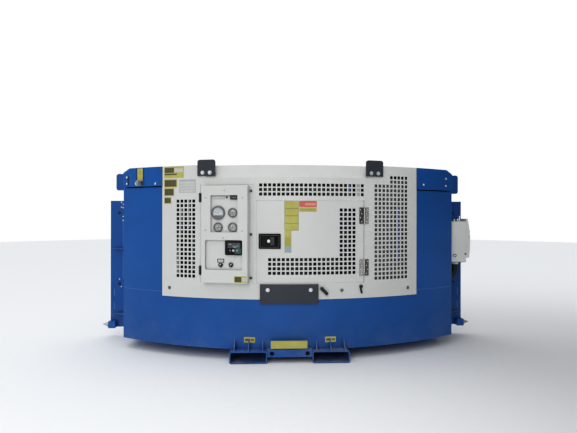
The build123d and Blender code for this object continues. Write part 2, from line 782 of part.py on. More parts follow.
# Selector knobs: a round skirt, a bar grip and a shaft through the plate
for (x, z), word in zip(knobs_at, ("left", "right")):
    with BuildPart() as selector_knob:
        with BuildSketch(on_pan(x, z, plate_proud + seam)):
            Circle(knob_radius)
        extrude(amount=knob_skirt)
        with BuildSketch(on_pan(x, z, plate_proud + seam + knob_skirt)):
            SlotOverall(2 * knob_radius - knob_skirt, knob_grip, rotation=90)
        extrude(amount=knob_proud - knob_skirt)
        with BuildSketch(on_pan(x, z, plate_proud + seam)):
            Circle(knob_shaft_radius)
        extrude(amount=-knob_proud)
    keep(selector_knob, f"selector_knob_{word}")

# Quarter-turn screws at the control door's free edge
with BuildPart() as control_screws:
    screws_low = doors_low + control_screws_inset[0]
    screws_high = control_high - control_screws_inset[1]
    for z in (screws_low, (screws_low + screws_high) / 2, screws_high):
        with BuildSketch(on_bow(control_screws_s, z, seam)):
            Circle(screw_radius)
        extrude(amount=screw_proud)
keep(control_screws, "control_screws")

# Lift brackets: charcoal plates bolted over the seams at the hood's ends
bracket_high = top_height + bracket_rise
with BuildPart() as lift_brackets:
    for bracket_s in bracket_places:
        with BuildSketch(on_bow(bracket_s, bracket_high - bracket_height / 2, seam)) as plate:
            Rectangle(bracket_width, bracket_height)
            fillet(plate.vertices().group_by(Axis.Y)[-1], bracket_radius)
        extrude(amount=bracket_thick)
        bolt_z = bracket_high - bracket_height + bracket_bolt_inset
        with BuildSketch(on_bow(bracket_s, bolt_z, seam + bracket_thick)):
            with GridLocations(bracket_bolt_pitch, 1, 2, 1):
                RegularPolygon(bolt_radius, 6)
        extrude(amount=bolt_head)
keep(lift_brackets, "lift_brackets")

# Bumper plate: a charcoal plate rolled to the bow, over the white sheets' lower edge
with BuildPart() as bumper_plate:
    bowed_sheet(bumper_s - bumper_width / 2, bumper_s + bumper_width / 2, bumper_low, bumper_high,
                outer=front_radius + seam + bumper_thick, thick=bumper_thick)
    for side in sides:
        bolt_s = bumper_s + side * bumper_bolt_pitch / 2
        with BuildSketch(on_bow(bolt_s, bumper_bolt_z, bumper_thick)):
            RegularPolygon(bolt_radius, 6)
        extrude(amount=bolt_head + seam)
keep(bumper_plate, "bumper_plate")

# Fuel tank: fills the lower part, a little inside the skirt
with BuildPart() as fuel_tank:
    extrude(plan_outline(floor_top, inner_radius - tank_gap, -tank_half, tank_half, rear_wall_y - tank_back),
            amount=tank_high - floor_top)
    fillet(fuel_tank.edges().filter_by(Axis.Z), tank_radius)
    chamfer(fuel_tank.faces().sort_by(Axis.Z)[-1].edges(), tank_gap)
keep(fuel_tank, "fuel_tank")

# Mounting posts beside the body: a plate on the mounting plane, stiffened by two webs
for side, word in zip(sides, ("left", "right")):
    post_inner = half_width - post_lap
    post_width = post_lap + post_reach
    post_middle = side * (post_inner + post_width / 2)
    with BuildPart() as rear_post:
        with BuildSketch(Plane(origin=(post_middle, rear_y, (post_low + post_high) / 2),
                               x_dir=(1, 0, 0), z_dir=(0, -1, 0))) as plate:
            Rectangle(post_width, post_high - post_low)
            outer_corners = plate.vertices().sort_by(Axis.X)[-2:] if side > 0 else \
                plate.vertices().sort_by(Axis.X)[:2]
            fillet(outer_corners.sort_by(Axis.Y)[:1], post_radius)
            fillet(outer_corners.sort_by(Axis.Y)[-1:], post_round if side > 0 else post_radius)
        extrude(amount=post_thick)
        bar_x_low, bar_x_high = sorted((side * post_inner, side * (side_inner - seam)))
        with Locations(((bar_x_low + bar_x_high) / 2, (rear_wall_y + rear_y - post_thick) / 2,
                        (post_low + tab_high) / 2)):
            Box(bar_x_high - bar_x_low, rear_y - post_thick - rear_wall_y, tab_high - post_low)
        for height in web_heights:
            with BuildSketch(Plane.XY.offset(height - web_thick / 2)):
                with BuildLine():
                    Polyline((side * (half_width + seam), rear_y - post_thick),
                             (side * (half_width + post_reach - post_radius), rear_y - post_thick),
                             (side * (half_width + seam), rear_y - post_thick - web_depth), close=True)
                make_face()
            extrude(amount=web_thick)
        post_front = Plane(origin=(side * half_width, rear_y - post_thick, 0), x_dir=(1, 0, 0),
                           z_dir=(0, -1, 0))
        with BuildSketch(post_front):
            with Locations(*((side * post_bolt_x, post_bolt_low + row * post_bolt_pitch) for row in (0, 1))):
                Circle(post_bolt_radius)
            with Locations(*((side * post_slot_x, height) for height in post_slot_heights)):
                SlotOverall(post_slot_length, post_slot_width, rotation=90)
        extrude(amount=-post_thick, mode=Mode.SUBTRACT)
    keep(rear_post, f"rear_post_{word}")

# Upper tabs on the mounting plane
with BuildPart() as upper_tabs:
    for side, tab_reach, tab_height in zip(sides, tab_reaches, tab_heights):
        tab_width = post_lap + tab_reach
        tab_middle = side * (half_width - post_lap + tab_width / 2)
        with BuildSketch(Plane(origin=(tab_middle, rear_y, tab_high - tab_height / 2),
                               x_dir=(1, 0, 0), z_dir=(0, -1, 0))):
            RectangleRounded(tab_width, tab_height, tab_radius)
        extrude(amount=post_thick)
keep(upper_tabs, "upper_tabs")

# Lower clamps: a block at each post's foot, with a pointed clamp screw beyond the post
with BuildPart() as lower_clamps:
    for side in sides:
        block_x = half_width + post_reach - clamp_block / 2
        block_y = rear_y - post_thick - seam - clamp_block / 2
        with Locations((side * block_x, block_y, clamp_z)):
            Box(clamp_block, clamp_block, clamp_block_height)
        screw_plane = Plane(origin=(side * (half_width + post_reach), block_y, clamp_z),
                            x_dir=(0, 1, 0), z_dir=(side, 0, 0))
        with BuildSketch(screw_plane):
            Circle(clamp_collar_radius)
        extrude(amount=clamp_collar)
        with Locations(screw_plane.offset(clamp_collar)):
            Cone(clamp_cone_radius, clamp_cone_end, clamp_cone, align=(Align.CENTER, Align.CENTER, Align.MIN))
keep(lower_clamps, "lower_clamps")

# Corner covers: caps over the top corners, open below, with a sloping outer edge
for side, word, cover_low in zip(sides, ("left", "right"), cover_lows):
    x_low, x_high = sorted((side * (roof_half + seam), side * half_width))
    with BuildPart() as corner_cover:
        extrude(plan_outline(cover_low, skin_radius + cover_proud, x_low, x_high,
                             rear_wall_y - sheet - seam), amount=top_height - cover_low)
        outer_edge = corner_cover.edges().filter_by(Axis.Y).group_by(Axis.Z)[-1].sort_by(Axis.X)
        edge = outer_edge[-1] if side > 0 else outer_edge[0]
        top = corner_cover.faces().sort_by(Axis.Z)[-1]
        chamfer(edge, cover_chamfer_across, cover_chamfer_down, reference=top)
        offset(amount=-cover_sheet, openings=corner_cover.faces().sort_by(Axis.Z)[0], kind=Kind.INTERSECTION)
    keep(corner_cover, f"corner_cover_{word}")

# Toggle latch on the left corner cover
with BuildPart() as cover_toggle:
    toggle_base = skin_radius + cover_proud - front_radius + seam
    toggle_z = cover_lows[0] + toggle_rise
    with BuildSketch(on_bow(toggle_s, toggle_z, toggle_base)):
        RectangleRounded(toggle_width, toggle_height, sheet)
    extrude(amount=sheet)
    with BuildSketch(on_bow(toggle_s, toggle_z, toggle_base)):
        RectangleRounded(toggle_width / 2, toggle_height - 2 * sheet, sheet)
    extrude(amount=toggle_proud, taper=draft)
keep(cover_toggle, "cover_toggle")

# Receptacle box on the right side wall, with its bulging lid, gland and elbow
box_y = rear_y - box_setback - box_depth / 2
with BuildPart() as receptacle_box:
    with BuildSketch(Plane.YZ.offset(half_width + seam)):
        with Locations((box_y, (box_low + box_high) / 2)):
            RectangleRounded(box_depth, box_high - box_low, box_radius)
    extrude(amount=box_width)
    with BuildSketch(Plane(origin=(half_width + elbow_in, box_y, box_low), z_dir=(0, 0, -1))):
        Circle(gland_radius)
    extrude(amount=gland_height, taper=draft)
keep(receptacle_box, "receptacle_box")

lid_x = half_width + seam + box_width + seam
with BuildPart() as receptacle_lid:
    with BuildSketch(Plane.XZ.offset(-(box_y + box_depth / 2))):
        with BuildLine():
            lid_top = (lid_x, lid_high)
            lid_foot = (lid_x, lid_low)
            Line(lid_top, lid_foot)
            Line(lid_foot, (lid_x + lid_thick, lid_low))
            ThreePointArc((lid_x + lid_thick, lid_low),
                          (lid_x + lid_thick + lid_bulge, (lid_low + lid_high) / 2),
                          (lid_x + lid_thick / 2, lid_high))
            Line((lid_x + lid_thick / 2, lid_high), lid_top)
        make_face()
    extrude(amount=box_depth)
keep(receptacle_lid, "receptacle_lid")

elbow_start = (half_width + elbow_in, box_y, box_low - gland_height - seam)
with BuildPart() as cable_elbow:
    with BuildLine(Plane(origin=elbow_start, x_dir=(1, 0, 0), z_dir=(0, -1, 0))):
        drop = Line((0, 0), (0, -elbow_drop))
        bend = JernArc(start=(0, -elbow_drop), tangent=(0, -1), radius=elbow_bend, arc_size=-90)
        Line((-elbow_bend, -elbow_drop - elbow_bend), (seam - elbow_in, -elbow_drop - elbow_bend))
    with BuildSketch(Plane(origin=elbow_start, z_dir=(0, 0, -1))):
        Circle(elbow_radius)
    sweep()
keep(cable_elbow, "cable_elbow")

# Fittings on the sill: a rubber stop set aslant and a stay with its knob
with BuildPart() as sill_stop:
    with Locations(on_bow(stop_s, stop_z, stop_radius + seam)):
        with Locations(Rotation(0, 0, stop_tilt) * Rotation(90, 0, 0)):
            Cylinder(stop_radius, stop_length)
    with BuildSketch(on_bow(stop_s, stop_z, seam)):
        Circle(stop_radius / 2)
    extrude(amount=stop_radius)
keep(sill_stop, "sill_stop")

with BuildPart() as sill_stay:
    with BuildSketch(on_bow(stay_s, stay_z, seam)):
        SlotOverall(stay_length, 2 * stay_radius, rotation=stay_tilt)
    extrude(amount=stay_radius)
    with BuildSketch(on_bow(stay_s, stay_z + stay_length / 2 - stay_radius, seam)):
        Circle(stay_knob)
    extrude(amount=stay_knob)
keep(sill_stay, "sill_stay")

# Engine on four round feet, with its head, rocker cover and filter
engine_low = tank_high + foot_height
engine_y = rear_wall_y - sheet - engine_back - engine_depth / 2
with BuildPart() as engine:
    with Locations((engine_x, engine_y, engine_low + engine_height / 2)):
        Box(engine_width, engine_depth, engine_height)
    chamfer(engine.faces().sort_by(Axis.Z)[0].edges().filter_by(Axis.X), sump_chamfer)
    head_low = engine_low + engine_height
    with Locations((engine_x, engine_y, head_low + head_height / 2)):
        Box(engine_width - 2 * head_inset, engine_depth - 2 * head_inset, head_height)
    with BuildSketch(Plane.XY.offset(head_low + head_height)):
        with Locations((engine_x, engine_y)):
            RectangleRounded(engine_width - 2 * rocker_inset, engine_depth - 2 * rocker_inset, rocker_inset)
    extrude(amount=rocker_height, taper=draft)
    filter_y = engine_y - engine_depth / 2 - filter_radius / 2
    with Locations((engine_x + filter_x, filter_y, engine_low + engine_height / 2)):
        Cylinder(filter_radius, filter_height)
    with Locations((engine_x, engine_y, tank_high + foot_height / 2)):
        with GridLocations(engine_width - 2 * foot_inset, foot_spread, 2, 2):
            Cylinder(foot_radius, foot_height + foot_radius)
    split(bisect_by=Plane.XY.offset(tank_high), keep=Keep.TOP)
keep(engine, "engine")

# Alternator on the engine's left end
alternator_z = engine_low + engine_height / 2
alternator_right = engine_x - engine_width / 2
alternator_plane = Plane(origin=(alternator_right, engine_y, alternator_z), x_dir=(0, 1, 0), z_dir=(-1, 0, 0))
with BuildPart() as alternator:
    with BuildSketch(alternator_plane):
        Circle(alternator_radius)
    extrude(amount=alternator_length)
    with BuildSketch(alternator_plane.offset(alternator_length)):
        Circle(bell_radius)
    extrude(amount=bell_length, taper=draft)
    with Locations((alternator_right - alternator_length / 2, engine_y, alternator_z + alternator_radius)):
        Box(terminal_length, alternator_radius, terminal_height)
    with Locations((alternator_right - alternator_length / 2, engine_y, (tank_high + alternator_z) / 2)):
        Box(cradle_length, alternator_radius, alternator_z - tank_high)
keep(alternator, "alternator")

# Radiator behind the right vent holes, standing on the tank
with BuildPart() as radiator:
    radiator_proud = -radiator_setback - radiator_thick / 2
    core_middle = (radiator_low + radiator_high) / 2
    with Locations(on_bow(radiator_s, core_middle, radiator_proud)):
        Box(radiator_width, radiator_high - radiator_low - 2 * radiator_tank, radiator_thick)
    for low in (radiator_low, radiator_high - radiator_tank):
        with Locations(on_bow(radiator_s, low + radiator_tank / 2, radiator_proud)):
            Box(radiator_width + 2 * radiator_overhang, radiator_tank, radiator_thick + 2 * radiator_overhang)
    with Locations(on_bow(radiator_s, (tank_high + radiator_low) / 2, radiator_proud)):
        Box(radiator_width / 2, radiator_low - tank_high, radiator_thick)
keep(radiator, "radiator")

# Fan in a square shroud against the back of the radiator's core
shroud_plane = on_bow(radiator_s, core_middle, -radiator_setback - radiator_thick - seam - shroud_depth)
with BuildPart() as radiator_fan:
    with Locations(shroud_plane):
        with Locations((0, 0, shroud_depth / 2)):
            Box(radiator_width, radiator_width, shroud_depth)
        with Locations((0, 0, shroud_depth / 2 + shroud_wall)):
            Box(radiator_width - 2 * shroud_wall, radiator_width - 2 * shroud_wall, shroud_depth,
                mode=Mode.SUBTRACT)
        Cylinder(fan_radius, 4 * shroud_wall, mode=Mode.SUBTRACT)
        with Locations((0, 0, shroud_wall / 2)):
            Box(radiator_width - shroud_wall, fan_hub_radius, shroud_wall)
            Box(fan_hub_radius, radiator_width - shroud_wall, shroud_wall)
        with Locations((0, 0, fan_depth / 2)):
            Cylinder(fan_hub_radius, fan_depth)
            with PolarLocations((fan_radius + fan_hub_radius) / 2 - 2 * shroud_wall, fan_blades):
                with Locations(Rotation(blade_pitch, 0, 0)):
                    Box(fan_radius - fan_hub_radius, blade_width, blade_thick)
keep(radiator_fan, "radiator_fan")

# Silencer behind the header's vent holes, hung from the roof
with BuildPart() as silencer:
    silencer_y = rear_wall_y - silencer_back
    with BuildSketch(Plane(origin=(silencer_x - silencer_length / 2, silencer_y, silencer_z),
                           x_dir=(0, 1, 0), z_dir=(1, 0, 0))):
        Circle(silencer_radius)
    extrude(amount=silencer_length)
    fillet(silencer.edges().filter_by(GeomType.CIRCLE), silencer_radius / 3)
    hanger_high = top_height - sheet - seam
    with Locations((silencer_x, silencer_y, (silencer_z + hanger_high) / 2)):
        with GridLocations(silencer_length / 2, 1, 2, 1):
            Box(hanger_width, hanger_width, hanger_high - silencer_z)
keep(silencer, "silencer")

# Exhaust: a manifold along the head's back and a pipe that bends into the silencer
manifold_y = engine_y + engine_depth / 2 - head_inset + seam + manifold_size / 2
exhaust_y = silencer_y + silencer_radius + seam + exhaust_bend
manifold_z = head_low + head_height / 2
with BuildPart() as exhaust_pipe:
    with Locations((engine_x, manifold_y, manifold_z)):
        Box(manifold_length, manifold_size, manifold_size)
    with BuildLine(Plane(origin=(engine_x + exhaust_x, exhaust_y, 0), x_dir=(0, -1, 0), z_dir=(-1, 0, 0))):
        Line((0, manifold_z), (0, silencer_z - exhaust_bend))
        JernArc(start=(0, silencer_z - exhaust_bend), tangent=(0, 1), radius=exhaust_bend, arc_size=-90)
    with BuildSketch(Plane(origin=(engine_x + exhaust_x, exhaust_y, manifold_z), z_dir=(0, 0, 1))):
        Circle(exhaust_radius)
    sweep()
keep(exhaust_pipe, "exhaust_pipe")

# Battery on the tank's left end
with BuildPart() as battery:
    battery_y = rear_wall_y - tank_back - battery_depth / 2
    with Locations((battery_x, battery_y, tank_high + battery_height / 2)):
        Box(battery_width, battery_depth, battery_height)
    chamfer(battery.faces().sort_by(Axis.Z)[-1].edges(), sheet)
keep(battery, "battery")
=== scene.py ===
# %% [markdown]
# # A clip-on diesel generator set
# The real object is a steel enclosure with a bowed front, made to hang on the front of a refrigerated
# container. It could be modelled from nothing, but its construction is already known: every sheet, door and
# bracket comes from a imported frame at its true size. So this script keeps those pieces where they are, gives
# each one its finish, and adds the small things that a construction model leaves out.

# %% Load the frame and note its size
from math import cos, radians, sin

import bmesh
import bpy
from mathutils import Matrix, Vector


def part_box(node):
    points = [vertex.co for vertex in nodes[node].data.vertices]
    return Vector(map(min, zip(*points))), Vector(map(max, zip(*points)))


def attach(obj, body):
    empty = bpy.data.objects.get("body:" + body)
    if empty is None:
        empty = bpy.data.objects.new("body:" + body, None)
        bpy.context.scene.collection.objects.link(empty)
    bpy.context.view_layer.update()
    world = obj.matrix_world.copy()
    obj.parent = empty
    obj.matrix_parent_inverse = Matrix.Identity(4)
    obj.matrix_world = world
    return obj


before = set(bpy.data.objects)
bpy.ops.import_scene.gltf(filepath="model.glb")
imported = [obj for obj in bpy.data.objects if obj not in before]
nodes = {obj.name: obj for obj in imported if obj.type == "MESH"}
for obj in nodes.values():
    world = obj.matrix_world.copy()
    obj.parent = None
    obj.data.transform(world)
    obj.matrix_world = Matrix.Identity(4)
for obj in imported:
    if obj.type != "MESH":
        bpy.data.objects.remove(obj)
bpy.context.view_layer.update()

print("pieces in the frame:", len(nodes))

# %% [markdown]
# ## Places on the front
# The front is rolled to one large radius, so a place on it is given as a length along the bow, s, a height z,
# and how far it stands proud of the sheet. One function turns these into a point and another into a matrix.
# The control door's pan is flat: it touches the bow at its middle, and its own places start from there.

# %% Places on the bow and on the control pan
MM = 0.001
BOW_RADIUS = 1986 * MM
PAN_S = -366 * MM
bow_centre_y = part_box("access_door")[0].y + BOW_RADIUS


def bow_point(s, z, proud=0.0):
    turn = s / BOW_RADIUS
    reach = BOW_RADIUS + proud
    return Vector((reach * sin(turn), bow_centre_y - reach * cos(turn), z))


def bow_matrix(s, z, proud=0.0, tilt=0.0):
    """Stands a piece on the bow: its x runs along the bow, its y up and its z outwards."""
    turn = s / BOW_RADIUS
    upright = Matrix.Rotation(turn, 4, "Z") @ Matrix.Rotation(radians(90), 4, "X")
    return Matrix.Translation(bow_point(s, z, proud)) @ upright @ Matrix.Rotation(radians(tilt), 4, "Z")


def pan_matrix(x, z, proud=0.0, tilt=0.0):
    """Stands a piece on the flat control pan, x to the right of the pan's middle."""
    middle = bow_matrix(PAN_S, z, proud)
    return middle @ Matrix.Translation((x, 0, 0)) @ Matrix.Rotation(radians(tilt), 4, "Z")


print("apex of the bow:", tuple(round(value, 4) for value in bow_point(0, 0)))

# %% [markdown]
# ## Camera
# The photograph was taken from the front, at about the height of the gauges, a little left of the middle.
# The lens and place were worked out from the rows of vent holes, which all lie on one cylinder.

# %% Camera
CAMERA_X = -99.4 * MM
CAMERA_Y = -2583.8 * MM
CAMERA_Z = 796.5 * MM
CAMERA_YAW = 2.0
CAMERA_ROLL = 0.07
LENS = 26.277
SENSOR = 36.0
IMAGE_WIDTH = 577
HORIZON_SHIFT = 0.62 / IMAGE_WIDTH

bpy.ops.object.camera_add(location=(CAMERA_X, CAMERA_Y, CAMERA_Z),
                          rotation=(radians(90), radians(-CAMERA_ROLL), radians(-CAMERA_YAW)))
camera = bpy.context.object
camera.name = "camera"
camera.data.lens = LENS
camera.data.sensor_width = SENSOR
camera.data.shift_y = HORIZON_SHIFT
bpy.context.scene.camera = camera
print("camera at", tuple(round(value, 3) for value in camera.location), "with a lens of", LENS)

# %% [markdown]
# ## Light of the sky
# Outdoors under a bright haze, the left side of the object is lit about twice as much as the right, and the
# hood that leans back is the brightest sheet. A world that is bright to the left and dim to the right does
# most of that, and it also gives the enamel something to mirror. Only rays of light meet this world: the
# camera itself sees plain white behind the object.

# %% World
WORLD_LEFT = 0.50
WORLD_RIGHT = 0.02
WORLD_TOP = 1.25
WORLD_SEEN = 1.0

scene = bpy.context.scene
world = bpy.data.worlds.new("haze")
scene.world = world
world.use_nodes = True
world_tree = world.node_tree
haze = world_tree.nodes["Background"]
haze.inputs["Color"].default_value = (0.95, 0.975, 1.0, 1)
towards = world_tree.nodes.new("ShaderNodeTexCoord")
direction = world_tree.nodes.new("ShaderNodeSeparateXYZ")
world_tree.links.new(towards.outputs["Generated"], direction.inputs["Vector"])
total = world_tree.nodes.new("ShaderNodeMath")
for slot, (axis, low, high, at_low, at_high) in enumerate((
    ("X", -0.9, 0.9, WORLD_LEFT, WORLD_RIGHT),
    ("Z", 0.25, 1.0, 0.0, WORLD_TOP),
)):
    gradient = world_tree.nodes.new("ShaderNodeMapRange")
    gradient.interpolation_type = "SMOOTHSTEP"
    for label, value in (("From Min", low), ("From Max", high), ("To Min", at_low), ("To Max", at_high)):
        gradient.inputs[label].default_value = value
    world_tree.links.new(direction.outputs[axis], gradient.inputs["Value"])
    world_tree.links.new(gradient.outputs["Result"], total.inputs[slot])
world_tree.links.new(total.outputs["Value"], haze.inputs["Strength"])
backdrop = world_tree.nodes.new("ShaderNodeBackground")
backdrop.inputs["Color"].default_value = (1, 1, 1, 1)
backdrop.inputs["Strength"].default_value = WORLD_SEEN
seen = world_tree.nodes.new("ShaderNodeLightPath")
choose = world_tree.nodes.new("ShaderNodeMixShader")
world_tree.links.new(seen.outputs["Is Camera Ray"], choose.inputs["Fac"])
world_tree.links.new(haze.outputs["Background"], choose.inputs[1])
world_tree.links.new(backdrop.outputs["Background"], choose.inputs[2])
world_tree.links.new(choose.outputs["Shader"], world_tree.nodes["World Output"].inputs["Surface"])
print("sky strength: left", WORLD_LEFT, "right", WORLD_RIGHT, "overhead", WORLD_TOP)

# %% [markdown]
# ### Softboxes and a card
# Two area lights add what the haze can't give. A wide one from the upper left throws soft shadows, and a low
# one behind the camera shows only as gloss on the enamel. A black card hangs over the right end. The camera
# doesn't see it, but it keeps the sky off the right wing, which is the darkest side in the photograph.

# %% Softboxes
def add_softbox(name, place, aim, width, height, power, colour):
    """A large rectangular light at a place, turned to face a point."""
    direction = Vector(aim) - Vector(place)
    bpy.ops.object.light_add(type="AREA", location=place,
                             rotation=direction.to_track_quat("-Z", "Y").to_euler())
    light = bpy.context.object
    light.name = name
    light.data.shape = "RECTANGLE"
    light.data.size = width
    light.data.size_y = height
    light.data.energy = power
    light.data.color = colour
    return light


add_softbox("key_left", (-1.4, -4.7, 2.7), (0, 0, 0.5), 2.6, 2.2, 58, (1.0, 0.985, 0.95))
gloss = add_softbox("low_front", (0.35, -4.6, 0.75), (0, 0, 0.45), 1.1, 0.8, 26, (0.95, 0.98, 1.0))
gloss.visible_diffuse = False
print("softboxes:", len(bpy.data.lights))

# %% Card over the right end
CARD_PLACE = (1.75, -0.75, 1.75)
CARD_SIZE = (1.8, 3.2, 1)
CARD_LEAN = -25
CARD_BLACK = (0.004, 0.004, 0.004, 1)

bpy.ops.mesh.primitive_plane_add(size=1, location=CARD_PLACE, rotation=(0, radians(CARD_LEAN), 0))
flag = bpy.context.object
flag.name = "light_flag"
bpy.ops.transform.resize(value=CARD_SIZE)
flag.visible_camera = False
black_cloth = bpy.data.materials.new("black cloth")
black_cloth.use_nodes = True
cloth_shader = black_cloth.node_tree.nodes["Principled BSDF"]
cloth_shader.inputs["Base Color"].default_value = CARD_BLACK
cloth_shader.inputs["Roughness"].default_value = 1.0
flag.data.materials.append(black_cloth)
print("card:", CARD_SIZE[0], "by", CARD_SIZE[1], "m")

# %% [markdown]
# ## Contrast
# A phone picture is darker in its darks than the scene was. The view's curve is pulled down a little at
# the low end and left alone higher up, so the white sheets keep their tone and the vent holes go dark.

# %% View
TOE = ((0.0, 0.0), (0.03, 0.017), (0.10, 0.072), (0.20, 0.168), (0.33, 0.31), (0.55, 0.545), (1.0, 1.0))
view = scene.view_settings
view.view_transform = "Standard"
view.use_curve_mapping = True
COMBINED = 3
tone = view.curve_mapping.curves[COMBINED]
tone.points[0].location = TOE[0]
tone.points[1].location = TOE[-1]
for point in TOE[1:-1]:
    tone.points.new(*point)
view.curve_mapping.update()
print("points on the tone curve:", len(tone.points))

# %% [markdown]
# ## Shader building blocks
# Every finish is a Principled shader with a small graph in front of it. The effects that several finishes
# share are node groups: each is built once here and placed in a material with its own values. All of them
# read Object coordinates, which are the object's own metres because every piece sits at the origin.

# %% Helpers for shader graphs
def add_node(tree, kind, inputs=None, **settings):
    """A node with values for its inputs and its settings."""
    node = tree.nodes.new(kind)
    for name, value in settings.items():
        setattr(node, name, value)
    for name, value in (inputs or {}).items():
        node.inputs[name].default_value = value
    return node


def new_group(name, inputs, outputs):
    """An empty node group with named sockets. Inputs are (name, start value), all plain numbers."""
    group = bpy.data.node_groups.new(name, "ShaderNodeTree")
    for label, value in inputs:
        socket = group.interface.new_socket(name=label, in_out="INPUT", socket_type="NodeSocketFloat")
        socket.default_value = value
    for label in outputs:
        group.interface.new_socket(name=label, in_out="OUTPUT", socket_type="NodeSocketFloat")
    return group, group.nodes.new("NodeGroupInput"), group.nodes.new("NodeGroupOutput")


def object_place(tree, scale=(1, 1, 1)):
    """Object coordinates, stretched by a Mapping node."""
    place = tree.nodes.new("ShaderNodeTexCoord")
    mapping = add_node(tree, "ShaderNodeMapping", {"Scale": scale})
    tree.links.new(place.outputs["Object"], mapping.inputs["Vector"])
    return mapping.outputs["Vector"]


def noise(tree, vector, scale, detail=2.0, roughness=0.5):
    """A noise texture's value. The scale is a number or a socket."""
    texture = add_node(tree, "ShaderNodeTexNoise", {"Detail": detail, "Roughness": roughness})
    tree.links.new(vector, texture.inputs["Vector"])
    feed(tree, scale, texture.inputs["Scale"])
    return texture.outputs["Fac"]


def feed(tree, value, socket):
    """Links a socket, or sets a number."""
    if isinstance(value, bpy.types.NodeSocket):
        tree.links.new(value, socket)
    else:
        socket.default_value = value


def maths(tree, operation, first, second=0.0, clamp=False):
    node = add_node(tree, "ShaderNodeMath", operation=operation, use_clamp=clamp)
    feed(tree, first, node.inputs[0])
    feed(tree, second, node.inputs[1])
    return node.outputs["Value"]


def spread(tree, value, low, high, to_low=0.0, to_high=1.0):
    """Maps a range to another, clamped."""
    node = add_node(tree, "ShaderNodeMapRange",
                    {"From Min": low, "From Max": high, "To Min": to_low, "To Max": to_high})
    tree.links.new(value, node.inputs["Value"])
    return node.outputs["Result"]


def blend_colours(tree, share, first, second):
    """Mixes two colours. Each is a socket or a tuple of three."""
    node = add_node(tree, "ShaderNodeMix", data_type="RGBA")
    feed(tree, share, node.inputs["Factor"])
    for colour, socket in ((first, node.inputs["A"]), (second, node.inputs["B"])):
        feed(tree, colour if isinstance(colour, bpy.types.NodeSocket) else (*colour, 1), socket)
    return node.outputs["Result"]


# %% [markdown]
# ### Sprayed paint
# Powder coat and enamel are never glass smooth: they have a fine orange peel, and broad patches where the
# coat is thicker. A fine noise gives the first and a wide one the second.

# %% Group: sprayed paint
def build_sprayed_paint():
    group, given, result = new_group("sprayed paint", [("Peel", 300.0), ("Patch", 3.0)], ["Height", "Patch"])
    place = object_place(group)
    peel = noise(group, place, given.outputs["Peel"], detail=1.5)
    group.links.new(peel, result.inputs["Height"])
    patch = noise(group, place, given.outputs["Patch"], detail=3.0, roughness=0.6)
    group.links.new(spread(group, patch, 0.32, 0.68), result.inputs["Patch"])
    return group


sprayed_paint = build_sprayed_paint()

# %% [markdown]
# ### Worn edges
# Paint is thin on an edge and gets rubbed there. The Bevel node rounds the normal near an edge, so where it
# departs from the true normal there is an edge close by. A noise breaks the line up.

# %% Group: worn edges
def build_worn_edges():
    group, given, result = new_group("worn edges", [("Width", 0.002), ("Breakup", 60.0)], ["Wear"])
    rounded = add_node(group, "ShaderNodeBevel", samples=4)
    group.links.new(given.outputs["Width"], rounded.inputs["Radius"])
    surface = group.nodes.new("ShaderNodeNewGeometry")
    likeness = add_node(group, "ShaderNodeVectorMath", operation="DOT_PRODUCT")
    group.links.new(rounded.outputs["Normal"], likeness.inputs[0])
    group.links.new(surface.outputs["Normal"], likeness.inputs[1])
    edge = spread(group, likeness.outputs["Value"], 0.99, 0.80)
    rub = spread(group, noise(group, object_place(group), given.outputs["Breakup"], detail=4.0), 0.5, 0.62)
    group.links.new(maths(group, "MULTIPLY", edge, rub), result.inputs["Wear"])
    return group


worn_edges = build_worn_edges()

# %% [markdown]
# ### Settled dust
# Dust lies on what faces up and clings in a broken veil low down, where a machine is splashed in a yard.
# The normal's upward share and the height over the ground drive one mask.

# %% Group: settled dust
def build_settled_dust():
    inputs = [("Top", 0.5), ("Splash", 0.3), ("Reach", 0.35)]
    group, given, result = new_group("settled dust", inputs, ["Dust"])
    surface = group.nodes.new("ShaderNodeNewGeometry")
    facing = group.nodes.new("ShaderNodeSeparateXYZ")
    group.links.new(surface.outputs["Normal"], facing.inputs["Vector"])
    place = object_place(group)
    height = group.nodes.new("ShaderNodeSeparateXYZ")
    group.links.new(place, height.inputs["Vector"])
    veil = spread(group, noise(group, place, 9.0, detail=6.0, roughness=0.65), 0.38, 0.72)
    top = maths(group, "MULTIPLY", spread(group, facing.outputs["Z"], 0.2, 0.9), given.outputs["Top"])
    share = maths(group, "DIVIDE", height.outputs["Z"], given.outputs["Reach"])
    low = maths(group, "SUBTRACT", 1.0, share, clamp=True)
    splash = maths(group, "MULTIPLY", maths(group, "POWER", low, 2.0), given.outputs["Splash"])
    both = maths(group, "ADD", top, splash, clamp=True)
    group.links.new(maths(group, "MULTIPLY", both, veil), result.inputs["Dust"])
    return group


settled_dust = build_settled_dust()

# %% [markdown]
# ### Rain streaks
# Water runs down an upright sheet and leaves faint upright marks. The same noise squeezed sideways and
# stretched in height gives them.

# %% Group: rain streaks
def build_rain_streaks():
    group, given, result = new_group("rain streaks", [("Amount", 0.3)], ["Streaks"])
    marks = noise(group, object_place(group, (55, 55, 1.6)), 1.0, detail=4.0, roughness=0.55)
    cover = noise(group, object_place(group), 2.5, detail=2.0)
    streaks = maths(group, "MULTIPLY", spread(group, marks, 0.52, 0.75), spread(group, cover, 0.42, 0.66))
    group.links.new(maths(group, "MULTIPLY", streaks, given.outputs["Amount"]), result.inputs["Streaks"])
    return group


rain_streaks = build_rain_streaks()
